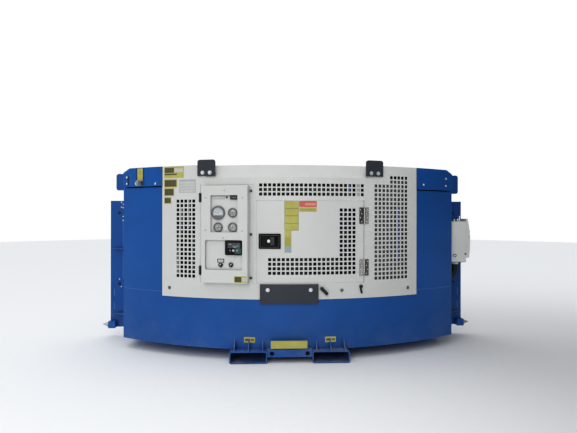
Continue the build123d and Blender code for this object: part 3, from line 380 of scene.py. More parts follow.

# %% [markdown]
# ### Grime and painted shade in corners
# Dirt stays where a brush can't reach, and shade falls in the same corners. Ambient occlusion is low exactly
# there, so its inverse is the mask: real grime and painted shade in one.

# %% Group: corner grime and painted shade
def build_corner_grime():
    group, given, result = new_group("grime_and_shade_in_corners", [("Reach", 0.02), ("Amount", 0.5)], ["Grime"])
    hollow = add_node(group, "ShaderNodeAmbientOcclusion", samples=6)
    group.links.new(given.outputs["Reach"], hollow.inputs["Distance"])
    depth = spread(group, hollow.outputs["AO"], 0.95, 0.35)
    broken = spread(group, noise(group, object_place(group), 40.0, detail=4.0), 0.3, 0.6, 0.45, 1.0)
    grime = maths(group, "MULTIPLY", depth, broken)
    group.links.new(maths(group, "MULTIPLY", grime, given.outputs["Amount"]), result.inputs["Grime"])
    return group


corner_grime_and_shade = build_corner_grime()

# %% [markdown]
# ### Shade inside
# The sheets of the enclosure are near-black inside, as painted shade of the dark inside of the box. A face is
# inside when it looks towards the middle of the enclosure.

# %% Group: painted shade inside
def build_lining():
    group, given, result = new_group("inside_shade", [("Middle Y", 0.05), ("Middle Z", 0.55)], ["Inside"])
    place = group.nodes.new("ShaderNodeTexCoord")
    middle = group.nodes.new("ShaderNodeCombineXYZ")
    group.links.new(given.outputs["Middle Y"], middle.inputs["Y"])
    group.links.new(given.outputs["Middle Z"], middle.inputs["Z"])
    outwards = add_node(group, "ShaderNodeVectorMath", operation="SUBTRACT")
    group.links.new(place.outputs["Object"], outwards.inputs[0])
    group.links.new(middle.outputs["Vector"], outwards.inputs[1])
    unit = add_node(group, "ShaderNodeVectorMath", operation="NORMALIZE")
    group.links.new(outwards.outputs["Vector"], unit.inputs[0])
    surface = group.nodes.new("ShaderNodeNewGeometry")
    facing = add_node(group, "ShaderNodeVectorMath", operation="DOT_PRODUCT")
    group.links.new(unit.outputs["Vector"], facing.inputs[0])
    group.links.new(surface.outputs["True Normal"], facing.inputs[1])
    group.links.new(spread(group, facing.outputs["Value"], -0.04, -0.06), result.inputs["Inside"])
    return group


inside_shade = build_lining()

# %% [markdown]
# ### Drawn metal and moulded grain
# Rolled or brushed steel has fine lines one way. Moulded plastic and rubber have a pebbled skin. Both are
# heights for a Bump node, with a tone that varies the roughness.

# %% Groups: drawn metal and moulded grain
def build_drawn_metal():
    group, given, result = new_group("drawn metal", [("Fineness", 1.0)], ["Height", "Tone"])
    lines = noise(group, object_place(group, (40, 40, 1600)), given.outputs["Fineness"], detail=3.0)
    group.links.new(lines, result.inputs["Height"])
    tone = noise(group, object_place(group), 35.0, detail=4.0, roughness=0.6)
    group.links.new(spread(group, tone, 0.35, 0.65), result.inputs["Tone"])
    return group


def build_moulded_grain():
    group, given, result = new_group("moulded grain", [("Grain", 900.0)], ["Height", "Tone"])
    pebbles = add_node(group, "ShaderNodeTexVoronoi", feature="SMOOTH_F1")
    group.links.new(object_place(group), pebbles.inputs["Vector"])
    group.links.new(given.outputs["Grain"], pebbles.inputs["Scale"])
    group.links.new(pebbles.outputs["Distance"], result.inputs["Height"])
    tone = noise(group, object_place(group), 22.0, detail=5.0, roughness=0.6)
    group.links.new(spread(group, tone, 0.35, 0.65), result.inputs["Tone"])
    return group


drawn_metal = build_drawn_metal()
moulded_grain = build_moulded_grain()
print("shared effects:", len(bpy.data.node_groups))

# %% [markdown]
# ## Finishes
# A paint is the same graph with other values: its colour in patches, then streaks, dust, and grime with
# painted shade in corners over it, then primer showing at worn edges, and the orange peel as bump.

# %% Helpers for finishes
DUST_COLOUR = (0.36, 0.33, 0.28)
# Near-black for grime and painted shade in corners.
GRIME_SHADE_COLOUR = (0.045, 0.042, 0.038)
PRIMER_COLOUR = (0.26, 0.26, 0.25)
# Near-black for the insides of the sheets: painted shade.
INSIDE_SHADE_COLOUR = (0.012, 0.012, 0.013)


def start_finish(name):
    """A new material with its tree and its Principled shader."""
    material = bpy.data.materials.new(name)
    material.use_nodes = True
    return material, material.node_tree, material.node_tree.nodes["Principled BSDF"]


def use_group(tree, group, **values):
    node = add_node(tree, "ShaderNodeGroup", node_tree=group)
    for name, value in values.items():
        node.inputs[name].default_value = value
    return node.outputs


def add_bump(tree, shader, height, distance):
    bump = add_node(tree, "ShaderNodeBump", {"Strength": 1.0, "Distance": distance})
    tree.links.new(height, bump.inputs["Height"])
    tree.links.new(bump.outputs["Normal"], shader.inputs["Normal"])


def scaled(colour, factor):
    return tuple(part * factor for part in colour)


def make_paint(name, colour, roughness, peel=320.0, relief=0.03 * MM, gloss=0.5, shade=0.86, dust=0.5,
               splash=0.25, streaks=0.2, grime=0.5, wear=0.5, wear_width=1.5 * MM, lined=False):
    material, tree, shader = start_finish(name)
    skin = use_group(tree, sprayed_paint, Peel=peel)
    streak = use_group(tree, rain_streaks, Amount=streaks)["Streaks"]
    settled = use_group(tree, settled_dust, Top=dust, Splash=splash)["Dust"]
    # Grime and painted shade in corners, from ambient occlusion.
    grime_shade = use_group(tree, corner_grime_and_shade, Amount=grime)["Grime"]
    rubbed = maths(tree, "MULTIPLY", use_group(tree, worn_edges, Width=wear_width)["Wear"], wear)
    tint = blend_colours(tree, skin["Patch"], colour, scaled(colour, shade))
    tint = blend_colours(tree, streak, tint, scaled(colour, 0.6))
    tint = blend_colours(tree, settled, tint, DUST_COLOUR)
    tint = blend_colours(tree, grime_shade, tint, GRIME_SHADE_COLOUR)
    tint = blend_colours(tree, rubbed, tint, PRIMER_COLOUR)
    # Faces inside the enclosure turn near-black: painted shade.
    if lined:
        tint = blend_colours(tree, use_group(tree, inside_shade)["Inside"], tint, INSIDE_SHADE_COLOUR)
    tree.links.new(tint, shader.inputs["Base Color"])
    rough = maths(tree, "MULTIPLY_ADD", skin["Patch"], 0.08)
    rough.node.inputs[2].default_value = roughness
    rough = maths(tree, "ADD", rough, maths(tree, "MULTIPLY", settled, 0.4), clamp=True)
    tree.links.new(rough, shader.inputs["Roughness"])
    shader.inputs["Specular IOR Level"].default_value = gloss
    add_bump(tree, shader, skin["Height"], relief)
    return material


def make_metal(name, colour, roughness, fineness=1.0, relief=0.02 * MM, stain=0.25, grime=0.5):
    """Bare or plated metal with drawn lines, stains, and grime with painted shade in its corners."""
    material, tree, shader = start_finish(name)
    lines = use_group(tree, drawn_metal, Fineness=fineness)
    # Grime and painted shade in corners, from ambient occlusion.
    grime_shade = use_group(tree, corner_grime_and_shade, Amount=grime, Reach=0.006)["Grime"]
    tint = blend_colours(tree, maths(tree, "MULTIPLY", lines["Tone"], stain), colour, scaled(colour, 0.55))
    tint = blend_colours(tree, grime_shade, tint, GRIME_SHADE_COLOUR)
    tree.links.new(tint, shader.inputs["Base Color"])
    rough = maths(tree, "MULTIPLY_ADD", lines["Tone"], 0.15)
    rough.node.inputs[2].default_value = roughness
    tree.links.new(rough, shader.inputs["Roughness"])
    tree.links.new(maths(tree, "SUBTRACT", 1.0, grime_shade, clamp=True), shader.inputs["Metallic"])
    add_bump(tree, shader, lines["Height"], relief)
    return material


def make_plastic(name, colour, roughness, grain=900.0, relief=0.05 * MM, dust=0.35, shade=0.75, gloss=0.5):
    """Moulded plastic or rubber with a pebbled skin and dust on top."""
    material, tree, shader = start_finish(name)
    skin = use_group(tree, moulded_grain, Grain=grain)
    settled = use_group(tree, settled_dust, Top=dust, Splash=0.2)["Dust"]
    rubbed = use_group(tree, worn_edges, Width=0.8 * MM)["Wear"]
    tint = blend_colours(tree, skin["Tone"], colour, scaled(colour, shade))
    tint = blend_colours(tree, maths(tree, "MULTIPLY", rubbed, 0.35), tint, (0.16, 0.16, 0.16))
    tint = blend_colours(tree, settled, tint, DUST_COLOUR)
    tree.links.new(tint, shader.inputs["Base Color"])
    rough = maths(tree, "MULTIPLY_ADD", skin["Tone"], 0.12)
    rough.node.inputs[2].default_value = roughness
    tree.links.new(rough, shader.inputs["Roughness"])
    shader.inputs["Specular IOR Level"].default_value = gloss
    add_bump(tree, shader, skin["Height"], relief)
    return material


# %% [markdown]
# Now the finishes of the frame's pieces. The blue is a semi-gloss enamel and the off-white a satin powder
# coat. The brackets and the bumper have a charcoal one, and the machines behind the doors are dusty.

# %% Finishes of the frame's pieces
BLUE = {"colour": (0.011, 0.100, 0.350), "roughness": 0.34, "gloss": 0.28, "peel": 260, "relief": 0.035 * MM,
        "dust": 0.55, "splash": 0.2, "streaks": 0.2, "grime": 0.35, "wear": 0.4}
finishes = {
    "blue": make_paint("blue enamel", **BLUE),
    "white": make_paint("off-white powder coat", (0.640, 0.650, 0.630), 0.42, peel=420, shade=0.94,
                        dust=0.3, splash=0.1, streaks=0.07, grime=0.30, wear=0.15),
    "charcoal": make_paint("charcoal powder coat", (0.030, 0.036, 0.050), 0.5, peel=700, relief=0.05 * MM,
                           shade=0.8, dust=0.4, streaks=0.3, grime=0.2, wear=0.6),
    "notice": make_paint("notice yellow film", (0.430, 0.430, 0.090), 0.45, peel=500, shade=0.9,
                         dust=0.3, streaks=0.25, grime=0.3, wear=0.2),
    "grey_box": make_paint("grey box paint", (0.680, 0.690, 0.675), 0.45, peel=500, shade=0.93,
                           dust=0.5, streaks=0.2, grime=0.45, wear=0.3),
    "stainless": make_metal("brushed stainless", (0.50, 0.49, 0.47), 0.32),
    "bright": make_metal("bright zinc", (0.72, 0.73, 0.74), 0.22, stain=0.35),
    "black_plastic": make_plastic("black moulded plastic", (0.012, 0.012, 0.014), 0.38),
    "rubber": make_plastic("black rubber", (0.016, 0.016, 0.016), 0.68, grain=600, relief=0.08 * MM),
    "black_steel": make_paint("black painted steel", (0.015, 0.016, 0.018), 0.4, peel=500, shade=0.7,
                              dust=0.6, grime=0.3, wear=0.6),
    "engine_paint": make_paint("engine green-grey", (0.050, 0.070, 0.068), 0.45, peel=200, relief=0.15 * MM,
                               shade=0.7, dust=0.9, streaks=0.5, grime=0.9, wear=0.6),
    "alternator_paint": make_paint("alternator blue-grey", (0.060, 0.085, 0.130), 0.42, peel=240, shade=0.75,
                                   dust=0.9, streaks=0.4, grime=0.8, wear=0.6),
    "radiator_core": make_metal("radiator aluminium", (0.32, 0.33, 0.34), 0.5, stain=0.7, grime=0.9),
    "silencer_steel": make_metal("aluminised silencer steel", (0.30, 0.28, 0.26), 0.55, stain=0.9, grime=0.7),
    "battery_case": make_plastic("battery case", (0.022, 0.022, 0.024), 0.5, grain=500, dust=0.8),
}
print("finishes by slot:", len(finishes))

# %% [markdown]
# Some pieces need a finish of their own. The blue sheets are near-black inside, as painted shade, and the
# gauge cans are darker than the other bright parts. A clamp is blue as far as the post's edge, with a bare
# pointed screw beyond it. Each of the door's two hinges has one bright leaf and one dull one.

# %% Finishes of single pieces
CLAMP_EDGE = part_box("rear_post_right")[1].x + 0.5 * MM
HINGE_X = (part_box("door_hinge_moving")[0].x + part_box("door_hinge_fixed")[1].x) / 2
FINE_SKIN = {"grain": 1500, "relief": 0.01 * MM}
# These blue sheets are painted near-black inside, as painted shade.
INSIDE_SHADED_PIECES = ("front_skirt", "wing_left", "wing_right", "side_wall_left", "side_wall_right", "base_floor",
         "corner_cover_left", "corner_cover_right")


def make_clamp_finish():
    """Blue enamel up to the post's edge and bare metal beyond it, on both sides."""
    material, tree, shader = start_finish("clamp")
    place = tree.nodes.new("ShaderNodeSeparateXYZ")
    tree.links.new(object_place(tree), place.inputs["Vector"])
    bare = maths(tree, "GREATER_THAN", maths(tree, "ABSOLUTE", place.outputs["X"]), CLAMP_EDGE)
    lines = use_group(tree, drawn_metal, Fineness=1.0)
    # Grime and painted shade in corners, from ambient occlusion.
    grime_shade = use_group(tree, corner_grime_and_shade, Amount=0.5, Reach=0.01)["Grime"]
    metal = blend_colours(tree, lines["Tone"], (0.62, 0.63, 0.64), (0.34, 0.34, 0.35))
    tint = blend_colours(tree, grime_shade, blend_colours(tree, bare, BLUE["colour"], metal), GRIME_SHADE_COLOUR)
    tree.links.new(tint, shader.inputs["Base Color"])
    tree.links.new(bare, shader.inputs["Metallic"])
    tree.links.new(spread(tree, lines["Tone"], 0.0, 1.0, 0.25, 0.42), shader.inputs["Roughness"])
    add_bump(tree, shader, lines["Height"], 0.02 * MM)
    return material


def make_leaf_finish():
    """Stainless hinge leaves. The dull ones are the upper hinge's left leaf and the lower one's right."""
    material, tree, shader = start_finish("hinge leaf")
    low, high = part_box("door_hinge_fixed")
    place = tree.nodes.new("ShaderNodeSeparateXYZ")
    tree.links.new(object_place(tree), place.inputs["Vector"])
    beside = maths(tree, "SUBTRACT", place.outputs["X"], HINGE_X)
    above = maths(tree, "SUBTRACT", place.outputs["Z"], (low.z + high.z) / 2)
    dull = spread(tree, maths(tree, "MULTIPLY", beside, above), 0.0, -0.0004)
    lines = use_group(tree, drawn_metal, Fineness=1.0)
    # Grime and painted shade in corners, from ambient occlusion.
    grime_shade = use_group(tree, corner_grime_and_shade, Amount=0.6, Reach=0.006)["Grime"]
    tint = blend_colours(tree, dull, (0.56, 0.55, 0.52), (0.13, 0.13, 0.13))
    tint = blend_colours(tree, maths(tree, "MULTIPLY", lines["Tone"], 0.45), tint, (0.20, 0.19, 0.18))
    tree.links.new(blend_colours(tree, grime_shade, tint, GRIME_SHADE_COLOUR), shader.inputs["Base Color"])
    tree.links.new(maths(tree, "SUBTRACT", 1.0, grime_shade, clamp=True), shader.inputs["Metallic"])
    tree.links.new(spread(tree, lines["Tone"], 0.0, 1.0, 0.3, 0.45), shader.inputs["Roughness"])
    add_bump(tree, shader, lines["Height"], 0.02 * MM)
    return material


blue_inside_shaded = make_paint("lined blue enamel", **BLUE, lined=True)
deep_black = make_plastic("deep black plastic", (0.004, 0.004, 0.006), 0.5, dust=0.1, gloss=0.22)
leaf_steel = make_leaf_finish()
single = {name: blue_inside_shaded for name in INSIDE_SHADED_PIECES}
single.update({
    "lower_clamps": make_clamp_finish(),
    "gauges": make_plastic("gauge can", (0.100, 0.102, 0.106), 0.35, **FINE_SKIN),
    "latch_dish": deep_black,
    "latch_paddle": deep_black,
    "controller": deep_black,
    "door_hinge_fixed": leaf_steel,
    "door_hinge_moving": leaf_steel,
})
for name, node in nodes.items():
    for place in node.material_slots:
        place.material = single.get(name, finishes[place.material.name.split(".")[0]])
print("finishes on the frame:", len(finishes), "and", len(set(single.values())), "for single pieces")

# %% [markdown]
# ## The floor
# The set stands on pale ground that runs out to white behind it. A wide disc with a faint speckle is enough,
# and it gives the soft shadows under the fork pockets something to fall on.

# %% The floor
FLOOR_REACH = 14.0
bpy.ops.object.select_all(action="DESELECT")
bpy.ops.mesh.primitive_circle_add(vertices=96, radius=FLOOR_REACH, fill_type="NGON", location=(0, 0, 0))
floor = bpy.context.object
floor.name = "floor"
pale, pale_tree, pale_shader = start_finish("pale floor")
speckle = noise(pale_tree, object_place(pale_tree), 30.0, detail=5.0)
pale_tree.links.new(blend_colours(pale_tree, speckle, (0.86, 0.86, 0.86), (0.90, 0.90, 0.90)),
                    pale_shader.inputs["Base Color"])
pale_shader.inputs["Roughness"].default_value = 0.7
floor.data.materials.append(pale)
print("floor:", 2 * FLOOR_REACH, "m across")

# %% [markdown]
# ## Ways of modelling
# Most small pieces are plates or turned parts. Each is drawn flat, x to the right, y up and z towards the
# viewer, and is then stood on the bow or on the pan by a matrix. A plate starts as a plane: its corners are
# bevelled, it is extruded, and the outer edge is bevelled. A turned part starts as a disc whose face is
# extruded and resized ring by ring, as one would pull it up by hand.

# %% Plates and turned parts
def open_piece(name):
    """Names the primitive that was just added. It is in edit mode and selected all over."""
    piece = bpy.context.object
    piece.name = name
    return piece


def close_piece(piece, smooth_angle=35):
    """Turns all faces outwards, leaves edit mode and shades by angle."""
    bpy.ops.mesh.select_all(action="SELECT")
    bpy.ops.mesh.remove_doubles(threshold=0.005 * MM)
    bpy.ops.mesh.normals_make_consistent(inside=False)
    bpy.ops.object.mode_set(mode="OBJECT")
    bpy.ops.object.shade_smooth_by_angle(angle=radians(smooth_angle))
    return piece


def make_plate(name, width, height, thick, corner=0.0, edge=0.0, corner_steps=5):
    """A plate with rounded corners. Its front edge is bevelled where an edge is given."""
    bpy.ops.object.select_all(action="DESELECT")
    bpy.ops.mesh.primitive_plane_add(size=1, enter_editmode=True)
    plate = open_piece(name)
    bpy.ops.transform.resize(value=(width, height, 1))
    if corner:
        bpy.ops.mesh.bevel(offset=corner, segments=corner_steps, affect="VERTICES")
    bpy.ops.mesh.extrude_region_move(TRANSFORM_OT_translate={"value": (0, 0, thick)})
    if edge:
        bpy.ops.mesh.region_to_loop()
        bpy.ops.mesh.bevel(offset=edge, segments=2, affect="EDGES")
    return close_piece(plate)


def sized(unit, *profile):
    """A profile's rings (radius, height), given as multiples of a unit."""
    return [(radius * unit, height * unit) for radius, height in profile]


def make_turned(name, profile, sides=24, smooth_angle=35):
    """A solid of rings (radius, height), from its foot to its top."""
    (radius, height), *rings = profile
    bpy.ops.object.select_all(action="DESELECT")
    bpy.ops.mesh.primitive_circle_add(vertices=sides, radius=radius, fill_type="NGON", enter_editmode=True,
                                      location=(0, 0, 0))
    turned = open_piece(name)
    bpy.ops.transform.translate(value=(0, 0, height))
    for next_radius, next_height in rings:
        bpy.ops.mesh.extrude_region_move(TRANSFORM_OT_translate={"value": (0, 0, next_height - height)})
        share = next_radius / radius
        bpy.ops.transform.resize(value=(share, share, 1), center_override=(0, 0, next_height))
        radius, height = next_radius, next_height
    return close_piece(turned, smooth_angle)


def join_pieces(name, pieces):
    bpy.ops.object.select_all(action="DESELECT")
    for piece in pieces:
        piece.select_set(True)
    bpy.context.view_layer.objects.active = pieces[0]
    if len(pieces) > 1:
        bpy.ops.object.join()
    pieces[0].name = name
    return pieces[0]


def copy_to(name, model, places):
    """Copies of a piece, each with its own mesh, stood at their matrices and joined. The model goes."""
    made = []
    for place in places:
        twin = model.copy()
        twin.data = model.data.copy()
        twin.data.transform(place)
        bpy.context.collection.objects.link(twin)
        made.append(twin)
    bpy.data.objects.remove(model)
    return join_pieces(name, made)


def shifted(piece, x=0.0, y=0.0, z=0.0):
    piece.data.transform(Matrix.Translation((x, y, z)))
    return piece


def dress(piece, finish, body):
    """Gives a piece its finish and the body that carries it. Set finishes stay."""
    if finish is not None:
        piece.data.materials.clear()
        piece.data.materials.append(finish)
    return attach(piece, body)


# %% [markdown]
# A label is wide enough to need the bow's curve. It is drawn flat at its length along the bow and its
# height, cut by upright planes with Bisect, and each of its points is then carried on to the cylinder.

# %% Films that follow the bow
CUT_PITCH = 22 * MM


def roll_on_bow(piece):
    """Bends a piece drawn flat in (s, z, proud) on to the bow."""
    across = [vertex.co.x for vertex in piece.data.vertices]
    cuts = int((max(across) - min(across)) / CUT_PITCH)
    bpy.ops.object.select_all(action="DESELECT")
    bpy.context.view_layer.objects.active = piece
    piece.select_set(True)
    bpy.ops.object.mode_set(mode="EDIT")
    for index in range(cuts):
        bpy.ops.mesh.select_all(action="SELECT")
        at = min(across) + (max(across) - min(across)) * (index + 1) / (cuts + 1)
        bpy.ops.mesh.bisect(plane_co=(at, 0, 0), plane_no=(1, 0, 0))
    bpy.ops.object.mode_set(mode="OBJECT")
    for vertex in piece.data.vertices:
        vertex.co = bow_point(*vertex.co)
    piece.data.update()
    return piece


def make_film(name, s_low, s_high, z_low, z_high, proud, thick=0.15 * MM, corner=1.0 * MM):
    """A thin film on the bow, between two lengths along it and two heights, all in millimetres."""
    width, height = (s_high - s_low) * MM, (z_high - z_low) * MM
    film = make_plate(name, width, height, thick, corner=corner, corner_steps=3)
    shifted(film, (s_low + s_high) / 2 * MM, (z_low + z_high) / 2 * MM, proud)
    return roll_on_bow(film)


# %% [markdown]
# ## Finishes of the small pieces
# Printed film fades and scuffs, plated bolts are mottled, and the gauge glass is clear with a little dirt.
# These small finishes use the same groups as the sheets.

# %% Films, glass and small parts
def make_film_finish(name, colour, roughness=0.42):
    material, tree, shader = start_finish(name)
    skin = use_group(tree, sprayed_paint, Peel=600, Patch=14)
    streak = use_group(tree, rain_streaks, Amount=0.3)["Streaks"]
    rubbed = use_group(tree, worn_edges, Width=0.9 * MM, Breakup=160)["Wear"]
    tint = blend_colours(tree, skin["Patch"], colour, scaled(colour, 0.85))
    tint = blend_colours(tree, streak, tint, DUST_COLOUR)
    tint = blend_colours(tree, maths(tree, "MULTIPLY", rubbed, 0.5), tint, (0.5, 0.5, 0.48))
    tree.links.new(tint, shader.inputs["Base Color"])
    rough = maths(tree, "MULTIPLY_ADD", skin["Patch"], 0.15)
    rough.node.inputs[2].default_value = roughness
    tree.links.new(rough, shader.inputs["Roughness"])
    add_bump(tree, shader, skin["Height"], 0.01 * MM)
    return material


def make_lens(name, tint):
    """Clear glass with a faint film of dirt in its roughness."""
    material, tree, shader = start_finish(name)
    smear = noise(tree, object_place(tree), 60.0, detail=4.0)
    tree.links.new(spread(tree, smear, 0.4, 0.8, 0.03, 0.22), shader.inputs["Roughness"])
    shader.inputs["Base Color"].default_value = (*tint, 1)
    shader.inputs["Transmission Weight"].default_value = 1.0
    shader.inputs["IOR"].default_value = 1.45
    return material


yellow_film = make_film_finish("yellow film", (0.480, 0.450, 0.105))
olive_print = make_film_finish("dark print", (0.090, 0.080, 0.030))
pale_print = make_film_finish("pale print", (0.560, 0.565, 0.560))
silver_film = make_film_finish("silver film", (0.430, 0.440, 0.455))
red_film = make_film_finish("red film", (0.600, 0.115, 0.090))
salmon_print = make_film_finish("salmon print", (0.720, 0.300, 0.200))
blue_film = make_film_finish("light blue film", (0.330, 0.440, 0.560))
black_print = make_film_finish("black print", (0.016, 0.016, 0.018))
dial_face = make_film_finish("dial face", (0.500, 0.520, 0.560))
grey_dial = make_film_finish("grey dial", (0.260, 0.262, 0.258))
needle_red = make_film_finish("needle red", (0.200, 0.030, 0.020), 0.35)
clear_lens = make_lens("gauge glass", (0.96, 0.98, 0.98))
screen_finish = make_film_finish("screen", (0.040, 0.055, 0.055), 0.2)
white_button = make_plastic("white button", (0.62, 0.63, 0.63), 0.35, shade=0.9, **FINE_SKIN)
blue_button = make_plastic("blue button", (0.22, 0.36, 0.52), 0.35, shade=0.9, **FINE_SKIN)
chrome = make_metal("gauge chrome", (0.26, 0.27, 0.28), 0.22, stain=0.5, grime=0.6)
zinc = make_metal("zinc plated bolt", (0.80, 0.81, 0.82), 0.42, fineness=0.6, stain=0.3, grime=0.3)
dark_zinc = make_metal("weathered bolt", (0.24, 0.25, 0.27), 0.42, fineness=0.6, stain=0.6, grime=0.8)
# Brighter than the white panels: painted light in the shaded gaps round the doors.
lit_seal_rubber = make_plastic("white seal, painted light", (0.86, 0.87, 0.85), 0.5, grain=1200, relief=0.01 * MM, shade=0.9)
# A lighter blue: painted highlight on beads, folds, tenons and the left post's bead.
lit_blue = make_paint("blue, painted highlight", (0.045, 0.190, 0.500), 0.4, dust=0.2, grime=0.2, wear=0.3)
# A darker blue: painted shade on films on the left cap.
shadow_blue = make_paint("blue in shadow", (0.003, 0.022, 0.085), 0.5, dust=0.2, grime=0.3, wear=0.1)
ring_grey = make_plastic("gauge bezel", (0.170, 0.172, 0.178), 0.30, **FINE_SKIN)
dull_lamp = make_plastic("dull lamp", (0.10, 0.105, 0.10), 0.25, **FINE_SKIN)
glare = make_film_finish("glare on glass", (0.62, 0.64, 0.66), 0.2)
green_field = make_film_finish("green field", (0.022, 0.085, 0.060))
amber_digit = make_film_finish("amber digit", (0.50, 0.32, 0.05))
ochre_print = make_film_finish("ochre print", (0.30, 0.27, 0.07))
straw_print = make_film_finish("straw print", (0.42, 0.38, 0.10))
worn_print = make_film_finish("worn print", (0.36, 0.36, 0.14))
faded_print = make_film_finish("faded print", (0.40, 0.37, 0.12))
strip_edge = make_film_finish("strip edge", (0.40, 0.41, 0.41))
dim_screen = make_film_finish("dim screen", (0.055, 0.066, 0.090), 0.25)
dull_screw = make_metal("dull screw", (0.46, 0.46, 0.45), 0.4)
# Lighter than the dish's black: a painted highlight on the raised rim.
lit_black_rim = make_plastic("black rim, painted highlight", (0.055, 0.057, 0.062), 0.35)
black_grip = make_plastic("black grip", (0.030, 0.031, 0.036), 0.45, grain=700)
pale_hose = make_plastic("pale hose", (0.50, 0.51, 0.52), 0.5)
grey_hose = make_plastic("grey hose", (0.24, 0.24, 0.25), 0.6)
blue_hose = make_plastic("blue hose", (0.10, 0.13, 0.42), 0.5)
print("finishes in all:", len(bpy.data.materials))

# %% [markdown]
# ## Bolts
# A hexagon bolt is a turned part with six sides, standing on a turned washer with twenty. One is modelled and
# copied to each place. The head's top edge is chamfered, as on a real one. A screw is a low dome with a
# recess sunk in its middle.

# %% Bolts and screws
def make_hex_bolt(name, reach):
    """A hexagon head on a washer. The reach is half the distance across its corners."""
    washer = make_turned(name, sized(reach, (1.45, 0), (1.45, 0.16), (1.38, 0.24)), 20)
    head = make_turned("head", sized(reach, (1, 0.2), (1, 0.78), (0.86, 0.9), (0.80, 0.88)), 6,
                       smooth_angle=20)
    return join_pieces(name, [washer, head])


def make_pan_head(name, radius):
    """A domed screw with a round recess sunk in it."""
    return make_turned(name, sized(radius, (1, 0), (1, 0.25), (0.86, 0.5), (0.55, 0.66), (0.34, 0.7),
                                   (0.28, 0.35)), 16)


SMALL_BOLT, LARGE_BOLT, COVER_SCREW = 6.8 * MM, 7.8 * MM, 6.5 * MM
SHEET_FACE, BRACKET_FACE, SCREW_SEAT = 0.1 * MM, 8.35 * MM, 2.8 * MM
sill_bolts = copy_to("sill_bolts", make_hex_bolt("bolt", SMALL_BOLT), [
    bow_matrix(s * MM, z * MM, SHEET_FACE, tilt)
    for s, z, tilt in ((-715, 390, 8), (282.4, 388, 22), (701, 384, 40))
])
dress(sill_bolts, dark_zinc, "enclosure")

charcoal_bolts = copy_to("charcoal_bolts", make_hex_bolt("bolt", LARGE_BOLT), [
    bow_matrix((middle + side * 0.5 * pitch) * MM, z * MM, BRACKET_FACE, 12 * side)
    for middle, pitch, z in ((-481, 43, 1045), (476, 43, 1045), (-14, 236, 395))
    for side in (-1, 1)
])
dress(charcoal_bolts, zinc, "enclosure")

cover_bolts = copy_to("cover_bolts", make_pan_head("screw", COVER_SCREW), [
    bow_matrix(s * MM, z * MM, SCREW_SEAT)
    for s, z in ((-1033, 1035), (-1033, 996.7), (-811, 991), (816, 991), (1004, 1034.7), (1004, 991))
])
dress(cover_bolts, zinc, "enclosure")
print("bolts:", len(sill_bolts.data.polygons) + len(charcoal_bolts.data.polygons), "faces")

# %% [markdown]
# ## Labels
# The object carries printed films. Their colours and places are part of its look, but their words and signs
# are not copied: each is a backing film with plain fields on it. One function lays a backing and its fields,
# given as (s from, s to, z from, z to), a hair above each other.

# %% Labels on the enclosure and the door
HAIR = 0.05 * MM
FIELD_LIFT = 0.12 * MM
SKIRT_FACE = -3.25 * MM
STRAP_FACE = 3.6 * MM


def lay_label(name, body, base, backing, fields, proud=0.0):
    """Films on the bow: a backing and then its fields, each with its finish, joined as one piece."""
    sheets = [make_film("backing", *base, proud + HAIR)]
    sheets[0].data.materials.append(backing)
    for area, finish in fields:
        sheets.append(make_film("field", *area, proud + FIELD_LIFT, corner=0.5 * MM))
        sheets[-1].data.materials.append(finish)
    label = join_pieces(name, sheets)
    return dress(label, None, body)


lay_label("corner_label_top", "enclosure", (-751, -622, 1020, 1086), yellow_film, [
    ((-748, -686, 1050, 1080), olive_print),
    ((-683, -628, 1053, 1075), pale_print),
    ((-748, -667, 1037, 1046), olive_print),
])
corner_labels = ((-665, 966, 1014), (-684, 916, 963), (-703, 872, 911))
for index, (s_high, z_low, z_high) in enumerate(corner_labels):
    lay_label(f"corner_label_{index + 1}", "enclosure", (-751, s_high, z_low, z_high), yellow_film,
              [((-748, s_high - 4, z_low + 5, z_high - 5), olive_print)])

table_rows = [((-649, -549, z, z + 13), pale_print) for z in (937, 953, 969, 985)]
lay_label("rating_table", "enclosure", (-652, -546, 934, 1010), silver_film, table_rows)

ROW_LINE = 2.5
row_edges = (887, 844, 804, 762, 722)
door_rows = [
    ((-38, 35, low + ROW_LINE, high - ROW_LINE), yellow_film)
    for high, low in zip(row_edges, row_edges[1:])
]
lay_label("door_label_rows", "door", (-41, 38, 722, 886), ochre_print, door_rows)
lay_label("door_label_foot", "door", (-41, -2, 600, 721), yellow_film, [
    ((-39, -4, 692, 719), yellow_film),
    ((-39, -4, 636, 687), straw_print),
    ((-39, -4, 603, 633), blue_film),
])
lay_label("door_label_red", "door", (40, 139, 852, 886), red_film, [((72, 134, 861, 875), salmon_print)])
lay_label("door_label_low", "door", (40, 139, 826, 850), yellow_film, [((46, 133, 833, 843), worn_print)])
lay_label("cover_strip", "enclosure", (-945, -905, 1010, 1080), yellow_film,
          [((-938, -912, 1050, 1070), faded_print)], proud=STRAP_FACE)
for index, s in enumerate((-234, 218)):
    lay_label(f"fork_label_{index + 1}", "enclosure", (s - 31, s + 31, 101, 132), yellow_film, [
        ((s - 24, s + 2, 110, 123), olive_print), ((s + 6, s + 25, 112, 121), olive_print)
    ], proud=SKIRT_FACE)

# %% [markdown]
# The notice bar is flat and its whole face is a yellow film, a little smaller than the steel.

# %% Notice film
notice_low, notice_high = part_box("notice_bar")
notice_x, notice_z = (notice_low.x + notice_high.x) / 2, (notice_low.z + notice_high.z) / 2
NOTICE_WIDTH, NOTICE_HEIGHT = 190 * MM, 34 * MM
notice_film = make_plate("notice_film", NOTICE_WIDTH, NOTICE_HEIGHT, 0.2 * MM, corner=1.5 * MM)
notice_film.data.transform(Matrix.Translation((notice_x, notice_low.y - 0.02 * MM, notice_z))
                           @ Matrix.Rotation(radians(90), 4, "X"))
dress(notice_film, yellow_film, "enclosure")
print("notice film at x", round(notice_x, 4), "and z", round(notice_z, 4))

